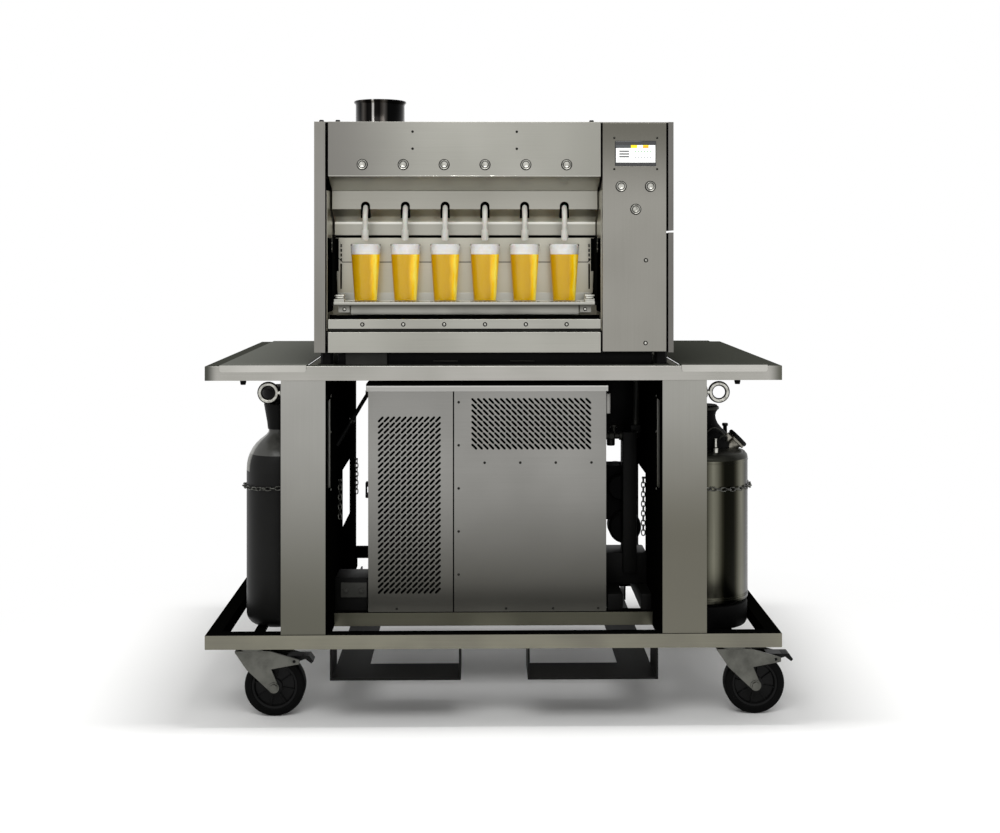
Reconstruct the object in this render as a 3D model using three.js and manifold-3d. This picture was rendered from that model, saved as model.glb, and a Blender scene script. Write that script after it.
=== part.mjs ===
// Draft beer dispenser: a six-tap filling machine on a rolling counter, with cooler, gas bottle and keg.
// Millimetres, +X to the right, +Y away from the person at the taps, +Z up.

import * as THREE from "three";
import { mergeVertices } from "three/addons/utils/BufferGeometryUtils.js";
import Module from "manifold-3d";

const wasm = await Module();
wasm.setup();

// Clearances and sheet
const SEAT = 0.3;
const OVERRUN = 5;
const SHEET = 2;
const PANEL_GAP = 2;

// Counter
const COUNTER_WIDTH = 1400;
const COUNTER_DEPTH = 800;
const COUNTER_TOP = 875;
const TUBE = 35;
const BOARD_INSET = 36;
const BOARD_WIDTH = 209;
const BOARD_FLANGE = 16.5;
const BOARD_CORNER = 6;
const REST_RAIL_INSET = 45;

// Base frame
const BASE_BOTTOM = 190;
const BASE_TUBE_HEIGHT = 34;
const COOLER_BEAM_SETBACK = 186;
const REAR_BEAM_SETBACK = 558;
const FLAT_RAIL_WIDTH = 27;
const FLAT_RAIL_THICKNESS = 5;
const FLAT_RAIL_OUTER_GAP = 195;
const FLAT_RAIL_INNER_GAP = 116;

// Legs
const LEG_SHEET = 3;
const LEG_INSET = 291;
const LEG_WIDTH = 108;
const LEG_SETBACK = 3;
const LEG_RETURN = 52;
const LEG_REAR_INSET = 40;
const LEG_REAR_FLANGE = 20;
const LEG_FOOT = 4;
const LEG_SLOT_LENGTH = 42;
const LEG_SLOT_DROP = 56;
const LEG_SLOT_HEIGHT = 221;
const WINDOW_DROP = 284;
const WINDOW_SETBACK_LEFT = 387;
const WINDOW_LENGTH_LEFT = 226;
const WINDOW_HEIGHT_LEFT = 160;
const WINDOW_SETBACK_RIGHT = 325;
const WINDOW_LENGTH_RIGHT = 175;
const WINDOW_HEIGHT_RIGHT = 231;
const BACK_BAR_HEIGHT = 32;
const BACK_BAR_RISE = 6;
const BACK_BAR_THICKNESS = 25;

// Eye bolts
const EYE_OUTER = 27;
const EYE_WIRE = 6;
const EYE_REACH = 34;
const EYE_DROP = 67;
const EYE_COLLAR_RADIUS = 14;
const EYE_COLLAR_THICKNESS = 6;

// Forklift pockets
const POCKET_INNER = 81;
const POCKET_WIDTH = 317;
const POCKET_DROP = 76;
const POCKET_PLATE = 5;
const POCKET_STRAP = 110;
const POCKET_RUNNER = 88;

// Casters
const WHEEL_RADIUS = 75;
const WHEEL_WIDTH = 38;
const WHEEL_BORE = 6.6;
const WHEEL_HUB_RADIUS = 20;
const WHEEL_HUB_WIDTH = 46;
const WHEEL_RIM_RADIUS = 56;
const WHEEL_WEB = 24;
const TREAD_ROUND = 5;
const CASTER_X = 597;
const CASTER_INSET = 95;
const CASTER_TRAIL = 53;
const CASTER_PLATE_LENGTH = 116;
const CASTER_PLATE_DEPTH = 96;
const CASTER_PLATE = 8;
const CROWN_RADIUS = 38;
const CROWN_HEIGHT = 16;
const FORK_SHEET = 4;
const FORK_INSIDE = 52;
const AXLE_RADIUS = 6;
const AXLE_NUT_RADIUS = 10;
const AXLE_NUT = 5;
const FORK_LOBE = 13;
const FORK_LOBE_START_SHARE = 1.17;
const FORK_TAIL_REACH = 116;
const FORK_TAIL_TOP = 144;
const FORK_TAIL_BOTTOM = 133;
const FORK_NOSE = 43;
const FORK_NOSE_LOW = 15;
const PEDAL_TIP_REACH = 149;
const PEDAL_PIVOT_REACH = 103;
const PEDAL_PIVOT_HEIGHT = 139.5;
const PEDAL_PIN_RADIUS = 3.5;
const PEDAL_WIDTH = 36;
const PEDAL_THICKNESS = 5;
const PEDAL_HEEL = 20;
const PEDAL_TOE_LENGTH = 20;
const PEDAL_TOE_DROP = 14;
const PIN_CLEARANCE = 0.4;

// Cooler
const COOLER_GAP_LEFT = 87;
const COOLER_GAP_RIGHT = 119;
const COOLER_TOP_GAP = 27;
const COOLER_DEPTH = 450;
const COOLER_WALL = 3;
const COOLER_LID_SKIRT = 20;
const COOLER_LID_PROUD = 5;
const COOLER_PANEL_DEPTH = 14;
const COOLER_SEAM = 219;
const GRILLE_PITCH = 14.67;
const GRILLE_SLOT_LENGTH = 17;
const GRILLE_SLOT_WIDTH = 3.5;
const GRILLE_LEFT_INSET = 105.6;
const GRILLE_LEFT_DROP = 312.3;
const GRILLE_LEFT_COUNT = [11, 31];
const GRILLE_RIGHT_MARGIN = 46;
const GRILLE_RIGHT_SHIFT = 3.5;
const GRILLE_RIGHT_DROP = 104;
const GRILLE_RIGHT_ROWS = 9;

// Gas bottle
const BOTTLE_GAP = 62;
const TANK_SETBACK = 220;
const BOTTLE_RADIUS = 82;
const BOTTLE_SHOULDER = 594;
const BOTTLE_NECK = 676;
const BOTTLE_NECK_RADIUS = 26;
const BOTTLE_NECK_HEIGHT = 18;
const BOTTLE_HEEL = 30;
const BOTTLE_DOME_SHARES = [0.25, 0.5, 0.75];
const GUARD_RADIUS = 28;
const GUARD_TOP_RADIUS = 38;
const GUARD_HEIGHT = 66;
const GUARD_WALL = 4;

// Keg
const KEG_GAP = 32;
const KEG_RADIUS = 108;
const KEG_BOOT_HEIGHT = 61;
const KEG_BOOT_RADIUS = 106;
const KEG_BODY_TOP = 634;
const KEG_EDGE = 8;
const KEG_DOME_RISE = 16;
const KEG_SHOULDER_RADIUS = 100;
const KEG_POST_RADIUS = 9;
const KEG_POST_HEIGHT = 42;
const KEG_POST_SHARES = [
  [0.12, -0.66],
  [0.53, 0.28],
];
const KEG_COUPLER_RADIUS = 34;
const KEG_COUPLER_HEIGHT = 120;
const KEG_COUPLER_SHARES = [
  [1.8, 0.12],
  [1.7, 0.36],
  [1.2, 0.5],
  [0.9, 0.6],
  [0.74, 0.76],
  [1, 0.92],
  [0.85, 1],
];
const KEG_HATCH_RADIUS = 27.5;
const KEG_HATCH_THICKNESS = 12;
const KEG_HATCH_NECK_RADIUS = 20;
const KEG_HATCH_NECK_LENGTH = 40;
const KEG_HATCH_REACH = 84;
const KEG_HATCH_RISE = 32;

// Dispenser housing
const HOUSING_WIDTH = 880;
const HOUSING_DEPTH = 600;
const HOUSING_HEIGHT = 565;
const HOUSING_SETBACK = 30;
const FOOT_HEIGHT = 30;
const FOOT_RADIUS = 16;
const FOOT_INSET_Y = 36;
const LEFT_STILE = 27;
const RIGHT_STILE = 13;
const STILE_GAP = 7;
const COLUMN_WIDTH = 156;
const COLUMN_GAP = 5;
const SIDE_SPLIT_SHARE = 0.525;
const SIDE_SPLIT_GAP = 5;

// Head: fascia with buttons, and the spout cover under it
const FASCIA_HEIGHT = 133;
const HEAD_OVERHANG = 87;
const SOFFIT_DROP = 32;
const COVER_FACE = 46;
const COVER_SLOPE_RUN = 56;
const COVER_SLOPE_DROP = 31;
const COVER_APRON = 34;
const RETURN = 12;
const TAP_COUNT = 6;
const TAP_PITCH = 100;
const SLOT_WIDTH = 22.7;
const SLOT_TOP_INSET = 27;
const SLOT_HEIGHT = 39;

// Push buttons
const BUTTON_BELOW_TOP = 105;
const BUTTON_RADIUS = 8.6;
const BUTTON_STEM_RADIUS = 7;
const BUTTON_PROUD = 4;
const BUTTON_LENGTH = 20;
const BUTTON_COLLAR = 2;
const BEZEL_RADIUS = 13.2;
const BEZEL_PROUD = 3;
const SIDE_BUTTON_SPREAD = 36;
const SIDE_BUTTON_INSET = 81;
const SIDE_BUTTON_UPPER_DROP = 158;
const SIDE_BUTTON_LOWER_DROP = 214;

// Touch screen
const SCREEN_INSET = 80.5;
const SCREEN_DROP = 77.5;
const SCREEN_WIDTH = 100;
const SCREEN_HEIGHT = 61;
const SCREEN_DEPTH = 12;
const SCREEN_PROUD = 0.8;

// Niche and trim
const NICHE_RISE = 52;
const NICHE_BEND_RISE = 220;
const NICHE_LEAN = 3;
const NICHE_FOLD_RISE = 142;
const NICHE_SLIT_WIDTH = 4;
const NICHE_SLIT_RISE = 151;
const NICHE_SLIT_INSET = 16;
const NICHE_DASH = 8;
const NICHE_DASH_PITCH = 12;
const NICHE_DASH_COUNT = 4;
const LOWER_FASCIA_HEIGHT = 50;
const LOWER_RETURN = 22;
const TRIM_RISE = 58.6;
const TRIM_HEIGHT = 22.8;
const TRIM_SETBACK = 2;
const TRIM_RETURN = 14;
const TRAY_DEPTH = 120;
const TRAY_HEIGHT = 27;

// Tilting rack
const RACK_RISE = 122;
const RACK_PLATE = 8;
const RACK_FRONT_SETBACK = 45;
const RACK_DEPTH = 90;
const RACK_SIDE_GAP = 4;
const RACK_UPSTAND = 20;
const RACK_CHANNEL_HEIGHT = 24;
const RACK_CHANNEL_DEPTH = 70;
const RACK_CHANNEL_INSET = 47;
const RACK_BRACKET_WIDTH = 28;
const RACK_BRACKET_HEIGHT = 19;
const RACK_BRACKET_INSET = 16;
const RACK_ARM = 6;
const RACK_ARM_FOOT = 62;
const RACK_BOSS = 13;
const RACK_PIN_RADIUS = 5;
const RACK_PAD_WIDTH = 26;
const RACK_PAD_HEIGHT = 7;
const RACK_PAD_DEPTH = 30;

// Spouts and cups
const SPOUT_RADIUS = 8;
const SPOUT_TIP_DROP = 291;
const SPOUT_SETBACK = 76;
const NOZZLE_RADIUS = 8.8;
const NOZZLE_LENGTH = 28;
const NOZZLE_ROUND = 4;
const MANIFOLD_RADIUS = 11;
const CUP_SETBACK = 93;
const CUP_HEIGHT = 144;
const CUP_BASE_RADIUS = 28;
const CUP_RIM_RADIUS = 38;
const CUP_WALL = 1.4;
const CUP_FILL_GAP = 2;

// Duct collar on the roof
const DUCT_INSET = 114.4;
const DUCT_SETBACK = 163;
const DUCT_RADIUS = 62.5;
const DUCT_WALL = 2;
const DUCT_HEIGHT = 67;
const DUCT_FLARE = 4.5;
const DUCT_FLARE_HEIGHT = 7;
const DUCT_FLANGE = 13;

// Facets
const FINE = 20;
const MEDIUM = 16;
const COARSE = 10;
const PLAIN = 8;
const TREAD_SIDES = 18;
const NUT_SIDES = 6;
const HOSE_SIDES = 8;
const HOSE_STEPS = 6;

// Worked-out places
const FRONT = -COUNTER_DEPTH / 2;
const BACK = COUNTER_DEPTH / 2;
const COUNTER_BOTTOM = COUNTER_TOP - TUBE;
const LEG_INNER = COUNTER_WIDTH / 2 - LEG_INSET;
const BASE_TOP = BASE_BOTTOM + BASE_TUBE_HEIGHT;
const RAIL_TOP = BASE_BOTTOM + FLAT_RAIL_THICKNESS;
const LEG_FRONT = FRONT + LEG_SETBACK;
const LEG_BACK = BACK - LEG_REAR_INSET;
const LEG_SLOT_TOP = COUNTER_BOTTOM - LEG_SLOT_DROP;
const WINDOW_TOP = COUNTER_BOTTOM - WINDOW_DROP;
const EYE_HEIGHT = COUNTER_TOP - EYE_DROP;
const COOLER_LEFT = COOLER_GAP_LEFT - LEG_INNER;
const COOLER_RIGHT = LEG_INNER - COOLER_GAP_RIGHT;
const COOLER_TOP = COUNTER_BOTTOM - COOLER_TOP_GAP;
const COOLER_FRONT = FRONT + COOLER_BEAM_SETBACK;
const TANK_Y = FRONT + TANK_SETBACK;
const BOTTLE_X = LEG_INNER + LEG_SHEET + BOTTLE_GAP + BOTTLE_RADIUS;
const KEG_X = LEG_INNER + LEG_SHEET + KEG_GAP + KEG_RADIUS;
const PEDAL_REACH = CASTER_X + PEDAL_TIP_REACH;
const CENTRE_X = (COUNTER_WIDTH / 2 - PEDAL_REACH) / 2;
const FACE = FRONT + HOUSING_SETBACK;
const HOUSING_BACK = FACE + HOUSING_DEPTH;
const HOUSING_BOTTOM = COUNTER_TOP + FOOT_HEIGHT;
const HOUSING_TOP = HOUSING_BOTTOM + HOUSING_HEIGHT;
const HOUSING_SIDE = HOUSING_WIDTH / 2;
const REST_RAIL_INNER = HOUSING_SIDE - REST_RAIL_INSET;
const NICHE_LEFT = -HOUSING_SIDE + LEFT_STILE + STILE_GAP;
const COLUMN_RIGHT = HOUSING_SIDE - RIGHT_STILE - COLUMN_GAP;
const COLUMN_LEFT = COLUMN_RIGHT - COLUMN_WIDTH;
const NICHE_RIGHT = COLUMN_LEFT - COLUMN_GAP;
const WING_LEFT = -HOUSING_SIDE + LEFT_STILE + SEAT;
const WING_RIGHT = COLUMN_LEFT - SEAT;
const TAP_FIRST = (NICHE_LEFT + NICHE_RIGHT) / 2 - (TAP_PITCH * (TAP_COUNT - 1)) / 2;
const COVER_Y = FACE + HEAD_OVERHANG;
const APRON_Y = COVER_Y + COVER_SLOPE_RUN;
const SOFFIT_Z = HOUSING_TOP - FASCIA_HEIGHT;
const COVER_TOP = SOFFIT_Z - SOFFIT_DROP - SEAT;
const COVER_FOLD = COVER_TOP - COVER_FACE;
const APRON_TOP = COVER_FOLD - COVER_SLOPE_DROP;
const APRON_BOTTOM = APRON_TOP - COVER_APRON;
const RACK_FRONT = FACE + RACK_FRONT_SETBACK;
const RACK_LEFT = NICHE_LEFT + RACK_SIDE_GAP / 2;
const RACK_RIGHT = NICHE_RIGHT - RACK_SIDE_GAP / 2;
const SPOUT_Y = FACE + SPOUT_SETBACK;
const CUP_Y = FACE + CUP_SETBACK;
const BUTTON_Z = HOUSING_TOP - BUTTON_BELOW_TOP;
const SIDE_BUTTON_X = COLUMN_LEFT + SIDE_BUTTON_INSET;
const SIDE_BUTTON_UPPER_Z = HOUSING_TOP - SIDE_BUTTON_UPPER_DROP;
const SIDE_BUTTON_LOWER_Z = HOUSING_TOP - SIDE_BUTTON_LOWER_DROP;
const SCREEN_X = COLUMN_LEFT + SCREEN_INSET;
const SCREEN_Z = HOUSING_TOP - SCREEN_DROP;
const NICHE_BOTTOM = HOUSING_BOTTOM + NICHE_RISE;
const NICHE_FOLD = HOUSING_BOTTOM + NICHE_FOLD_RISE;
const NICHE_SLIT_BOTTOM = HOUSING_BOTTOM + NICHE_SLIT_RISE;
const NICHE_BEND = HOUSING_BOTTOM + NICHE_BEND_RISE;
const TRIM_BOTTOM = HOUSING_BOTTOM + TRIM_RISE;
const RACK_TOP = HOUSING_BOTTOM + RACK_RISE;
const SPOUT_TIP_Z = HOUSING_TOP - SPOUT_TIP_DROP;
const DUCT_X = NICHE_LEFT + DUCT_INSET;
const CROWN_TOP = BASE_BOTTOM - CASTER_PLATE - SEAT;

// Finishes
const finish = (color, roughness, metalness) =>
  new THREE.MeshStandardMaterial({ color, roughness, metalness });
const brushedSteel = () => finish(0xa3a39c, 0.38, 1);
const polishedSteel = () => finish(0xb8b7b0, 0.2, 1);
const darkSteel = () => finish(0x2a2a28, 0.4, 0.7);
const blackPaint = () => finish(0x121211, 0.5, 0.2);
const zincSteel = () => finish(0x7d7d78, 0.45, 0.9);
const blackRubber = () => finish(0x111112, 0.7, 0);
const beer = () => finish(0xd79a1c, 0.15, 0);
const clearHose = () => finish(0xe8e8e2, 0.35, 0);
const screenGlass = () => finish(0xd9dbd6, 0.2, 0);

// A closed three.js geometry as a manifold-3d solid
function solid(geometry) {
  const open = geometry.index ? geometry.toNonIndexed() : geometry;
  const bare = new THREE.BufferGeometry().setAttribute("position", open.getAttribute("position"));
  const merged = mergeVertices(bare, 1e-4);
  const triVerts = new Uint32Array(merged.index.array);
  const vertProperties = merged.attributes.position.array;
  const made = new wasm.Manifold(new wasm.Mesh({ numProp: 3, vertProperties, triVerts }));
  if (made.volume() > 0) return made;
  for (let i = 0; i < triVerts.length; i += 3) {
    const first = triVerts[i];
    triVerts[i] = triVerts[i + 1];
    triVerts[i + 1] = first;
  }
  return new wasm.Manifold(new wasm.Mesh({ numProp: 3, vertProperties, triVerts }));
}

const join = (...parts) => parts.flat().reduce((a, b) => a.add(b));
const cut = (body, ...tools) => tools.flat().reduce((a, b) => a.subtract(b), body);

// A box between two corners
function block([x0, x1], [y0, y1], [z0, z1]) {
  const geometry = new THREE.BoxGeometry(x1 - x0, y1 - y0, z1 - z0);
  return solid(geometry.translate((x0 + x1) / 2, (y0 + y1) / 2, (z0 + z1) / 2));
}

// The same span on the other side of the middle plane when side is -1
const sided = (side, a, b) => (side > 0 ? [a, b] : [-b, -a]);

// An outline of [u, v] points, a ready Shape or a list of Shapes, drawn out along one axis
const BASES = {
  x: [new THREE.Vector3(0, 1, 0), new THREE.Vector3(0, 0, 1), new THREE.Vector3(1, 0, 0)],
  y: [new THREE.Vector3(1, 0, 0), new THREE.Vector3(0, 0, 1), new THREE.Vector3(0, -1, 0)],
  z: [new THREE.Vector3(1, 0, 0), new THREE.Vector3(0, 1, 0), new THREE.Vector3(0, 0, 1)],
};
function draw(outline, axis, [from, to], curveSegments = 4) {
  const isPoints = Array.isArray(outline) && Array.isArray(outline[0]);
  const shape = isPoints ? new THREE.Shape(outline.map(([u, v]) => new THREE.Vector2(u, v))) : outline;
  const geometry = new THREE.ExtrudeGeometry(shape, { depth: to - from, bevelEnabled: false, curveSegments });
  const place = new THREE.Matrix4().makeBasis(...BASES[axis]);
  const start = axis === "y" ? to : from;
  place.setPosition(axis === "x" ? start : 0, axis === "y" ? start : 0, axis === "z" ? start : 0);
  return solid(geometry.applyMatrix4(place));
}

// A rectangle with rounded corners, as a Shape
function roundedRectangle([u0, u1], [v0, v1], lower, upper = lower) {
  const shape = new THREE.Shape();
  shape.moveTo(u0 + lower, v0);
  shape.lineTo(u1 - lower, v0);
  shape.absarc(u1 - lower, v0 + lower, lower, -Math.PI / 2, 0);
  shape.lineTo(u1, v1 - upper);
  if (upper) shape.absarc(u1 - upper, v1 - upper, upper, 0, Math.PI / 2);
  shape.lineTo(u0 + upper, v1);
  if (upper) shape.absarc(u0 + upper, v1 - upper, upper, Math.PI / 2, Math.PI);
  shape.lineTo(u0, v0 + lower);
  shape.absarc(u0 + lower, v0 + lower, lower, Math.PI, 1.5 * Math.PI);
  return shape;
}

// A sheet of even thickness folded along [u, v] points; the thickness lies to the left of the path
function foldedSheet(points, thickness) {
  const normals = points.slice(1).map(([u, v], i) => {
    const along = new THREE.Vector2(u - points[i][0], v - points[i][1]).normalize();
    return new THREE.Vector2(-along.y, along.x);
  });
  const inner = points.map(([u, v], i) => {
    const before = normals[Math.max(i - 1, 0)];
    const after = normals[Math.min(i, normals.length - 1)];
    const middle = before.clone().add(after);
    middle.multiplyScalar((2 * thickness) / middle.lengthSq());
    return [u + middle.x, v + middle.y];
  });
  return [...points, ...inner.reverse()];
}

// A profile of [radius, height] points turned about Z or Y through a centre
function turn(profile, axis, [x, y, z], segments) {
  const closed = profile[0][0] === 0 ? profile : [...profile, profile[0]];
  const geometry = new THREE.LatheGeometry(closed.map(([r, h]) => new THREE.Vector2(r, h)), segments);
  if (axis === "z") geometry.rotateX(Math.PI / 2);
  if (axis === "x") geometry.rotateZ(-Math.PI / 2);
  return solid(geometry.translate(x, y, z));
}

const rod = (radius, axis, [from, to], centre, segments = COARSE) =>
  turn([[0, from], [radius, from], [radius, to], [0, to]], axis, centre, segments);

const root = new THREE.Group();
root.name = "draft_beer_dispenser";
root.position.x = CENTRE_X;

// A named mesh of one solid, added to the part
function piece(name, body, material) {
  const made = body.getMesh();
  const geometry = new THREE.BufferGeometry();
  const corners = new Float32Array(made.numVert * 3);
  for (let i = 0; i < made.numVert; i++) {
    corners.set(made.vertProperties.subarray(i * made.numProp, i * made.numProp + 3), i * 3);
  }
  geometry.setAttribute("position", new THREE.BufferAttribute(corners, 3));
  geometry.setIndex(new THREE.BufferAttribute(made.triVerts, 1));
  const flat = geometry.toNonIndexed();
  flat.computeVertexNormals();
  const mesh = new THREE.Mesh(flat, material);
  mesh.name = name;
  root.add(mesh);
}

const SIDES = [["left", -1], ["right", 1]];

// Counter: a welded tube ring with two rails that carry the machine, and a folded board each side
function buildCounter() {
  const half = COUNTER_WIDTH / 2;
  const height = [COUNTER_BOTTOM, COUNTER_TOP];
  const outer = block([-half, half], [FRONT, BACK], height);
  const inside = [COUNTER_BOTTOM - OVERRUN, COUNTER_TOP + OVERRUN];
  const opening = block([TUBE - half, half - TUBE], [FRONT + TUBE, BACK - TUBE], inside);
  const rails = SIDES.map(([, side]) =>
    block(sided(side, REST_RAIL_INNER, REST_RAIL_INNER + TUBE), [FRONT + TUBE / 2, BACK - TUBE / 2], height),
  );
  piece("counter_frame", join(cut(outer, opening), rails), brushedSteel());

  const top = COUNTER_TOP + SEAT + SHEET;
  const reach = BACK + SEAT + SHEET;
  for (const [name, side] of SIDES) {
    const span = sided(side, half - BOARD_INSET - BOARD_WIDTH, half - BOARD_INSET);
    const plate = block(span, [-reach, reach], [top - SHEET, top]);
    const flange = roundedRectangle(span, [top - BOARD_FLANGE, top], BOARD_CORNER, 0);
    const front = draw(flange, "y", [-reach, SHEET - reach]);
    const rear = draw(flange, "y", [reach - SHEET, reach]);
    piece("counter_board_" + name, join(plate, front, rear), brushedSteel());
  }
}

// Base: a tube ring with beams for legs and cooler, flat rails for bottle and keg, and caster pads
function buildBase() {
  const half = COUNTER_WIDTH / 2;
  const height = [BASE_BOTTOM, BASE_TOP];
  const through = [BASE_BOTTOM - OVERRUN, BASE_TOP + OVERRUN];
  const outer = block([-half, half], [FRONT, BACK], height);
  const opening = block([TUBE - half, half - TUBE], [FRONT + TUBE, BACK - TUBE], through);
  const behind = block([-LEG_INNER, LEG_INNER], [BACK - 2 * TUBE, BACK + OVERRUN], through);
  const along = [FRONT + TUBE / 2, BACK - TUBE / 2];
  const parts = [COOLER_BEAM_SETBACK, REAR_BEAM_SETBACK].map((setback) =>
    block([-LEG_INNER - SEAT, LEG_INNER + SEAT], [FRONT + setback, FRONT + setback + TUBE], height),
  );
  for (const [, side] of SIDES) {
    parts.push(block(sided(side, LEG_INNER, LEG_INNER + TUBE), [along[0], BACK], height));
    for (const gap of [FLAT_RAIL_OUTER_GAP, FLAT_RAIL_INNER_GAP]) {
      const edge = LEG_INNER + gap;
      parts.push(block(sided(side, edge - FLAT_RAIL_WIDTH, edge), along, [BASE_BOTTOM, RAIL_TOP]));
    }
    for (const y of [FRONT + CASTER_INSET, BACK - CASTER_INSET]) {
      const span = sided(side, CASTER_X - CASTER_PLATE_LENGTH / 2, half - TUBE / 2);
      const depth = [y - CASTER_PLATE_DEPTH / 2, y + CASTER_PLATE_DEPTH / 2];
      parts.push(block(span, depth, [BASE_BOTTOM - CASTER_PLATE, BASE_BOTTOM]));
    }
  }
  piece("base_frame", join(cut(outer, opening, behind), parts), brushedSteel());
}

// Legs: one folded sheet each, a hollow front post that runs back as a side panel with a slot and a window
function buildLegs() {
  const bottom = BASE_TOP + SEAT;
  const top = COUNTER_BOTTOM - SEAT;
  const outside = LEG_INNER + LEG_WIDTH;
  const windows = {
    left: { setback: WINDOW_SETBACK_LEFT, length: WINDOW_LENGTH_LEFT, height: WINDOW_HEIGHT_LEFT },
    right: { setback: WINDOW_SETBACK_RIGHT, length: WINDOW_LENGTH_RIGHT, height: WINDOW_HEIGHT_RIGHT },
  };
  for (const [name, side] of SIDES) {
    const window = windows[name];
    const path = [
      [side * outside, LEG_FRONT + LEG_RETURN],
      [side * outside, LEG_FRONT],
      [side * LEG_INNER, LEG_FRONT],
      [side * LEG_INNER, LEG_BACK],
      [side * (LEG_INNER + LEG_REAR_FLANGE), LEG_BACK],
    ];
    const sheet = foldedSheet(side < 0 ? path : path.reverse(), LEG_SHEET);
    const panel = draw(sheet, "z", [bottom, top]);
    const post = [LEG_FRONT, LEG_FRONT + LEG_RETURN];
    const foot = block(sided(side, LEG_INNER, outside), post, [bottom, bottom + LEG_FOOT]);
    const wall = sided(side, LEG_INNER - OVERRUN, LEG_INNER + LEG_SHEET + OVERRUN);
    const slotStart = LEG_FRONT + LEG_RETURN + SEAT;
    const slotHeight = [LEG_SLOT_TOP - LEG_SLOT_HEIGHT, LEG_SLOT_TOP];
    const slot = block(wall, [slotStart, slotStart + LEG_SLOT_LENGTH], slotHeight);
    const reach = [FRONT + window.setback, FRONT + window.setback + window.length];
    const windowHeight = [WINDOW_TOP - window.height, WINDOW_TOP];
    const hole = block(wall, reach, windowHeight);
    piece("leg_" + name, cut(join(panel, foot), slot, hole), brushedSteel());

    const ringX = side * (outside + EYE_REACH);
    const ringY = LEG_FRONT + LEG_RETURN / 2;
    const torus = new THREE.TorusGeometry(EYE_OUTER - EYE_WIRE, EYE_WIRE, PLAIN, MEDIUM);
    const ring = solid(torus.rotateX(Math.PI / 2).translate(ringX, ringY, EYE_HEIGHT));
    const start = outside + SEAT;
    const shankEnd = outside + EYE_REACH - EYE_OUTER + EYE_WIRE;
    const at = [0, ringY, EYE_HEIGHT];
    const shank = rod(EYE_WIRE, "x", sided(side, start, shankEnd), at, PLAIN);
    const collar = rod(EYE_COLLAR_RADIUS, "x", sided(side, start, start + EYE_COLLAR_THICKNESS), at, COARSE);
    piece("eye_bolt_" + name, join(ring, shank, collar), polishedSteel());
  }
  const barBottom = BASE_TOP + BACK_BAR_RISE;
  const bar = block(
    [SEAT - LEG_INNER, LEG_INNER - SEAT],
    [LEG_BACK - BACK_BAR_THICKNESS, LEG_BACK],
    [barBottom, barBottom + BACK_BAR_HEIGHT],
  );
  piece("back_bar", bar, darkSteel());
}

// Forklift pockets: a front and a rear strap hung under the base, joined by a flat runner
function buildPockets() {
  const top = BASE_BOTTOM - SEAT;
  const bottom = BASE_BOTTOM - POCKET_DROP;
  for (const [name, side] of SIDES) {
    const path = [
      [side * POCKET_INNER, top],
      [side * POCKET_INNER, bottom],
      [side * (POCKET_INNER + POCKET_WIDTH), bottom],
      [side * (POCKET_INNER + POCKET_WIDTH), top],
    ];
    const outline = foldedSheet(path, side * POCKET_PLATE);
    const front = draw(outline, "y", [FRONT, FRONT + POCKET_STRAP]);
    const rear = draw(outline, "y", [BACK - POCKET_STRAP, BACK]);
    const edge = POCKET_INNER + POCKET_WIDTH;
    const runner = block(
      sided(side, edge - POCKET_RUNNER, edge - POCKET_PLATE),
      [FRONT + POCKET_STRAP / 2, BACK - POCKET_STRAP / 2],
      [bottom, bottom + POCKET_PLATE],
    );
    piece("fork_pocket_" + name, join(front, rear, runner), blackPaint());
  }
}

// Casters: fork with axle, wheel, and a brake pedal on the front pair
function buildCasters() {
  const places = [
    ["front_left", -1, FRONT + CASTER_INSET],
    ["front_right", 1, FRONT + CASTER_INSET],
    ["rear_left", -1, BACK - CASTER_INSET],
    ["rear_right", 1, BACK - CASTER_INSET],
  ];
  for (const [name, side, y] of places) {
    const x = side * CASTER_X;
    piece("caster_fork_" + name, forkSolid(x, y), zincSteel());
    piece("caster_wheel_" + name, wheelSolid(x + CASTER_TRAIL, y), blackRubber());
    if (name.startsWith("front")) piece("brake_pedal_" + name, pedalSolid(x, y), blackRubber());
  }
}

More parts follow.
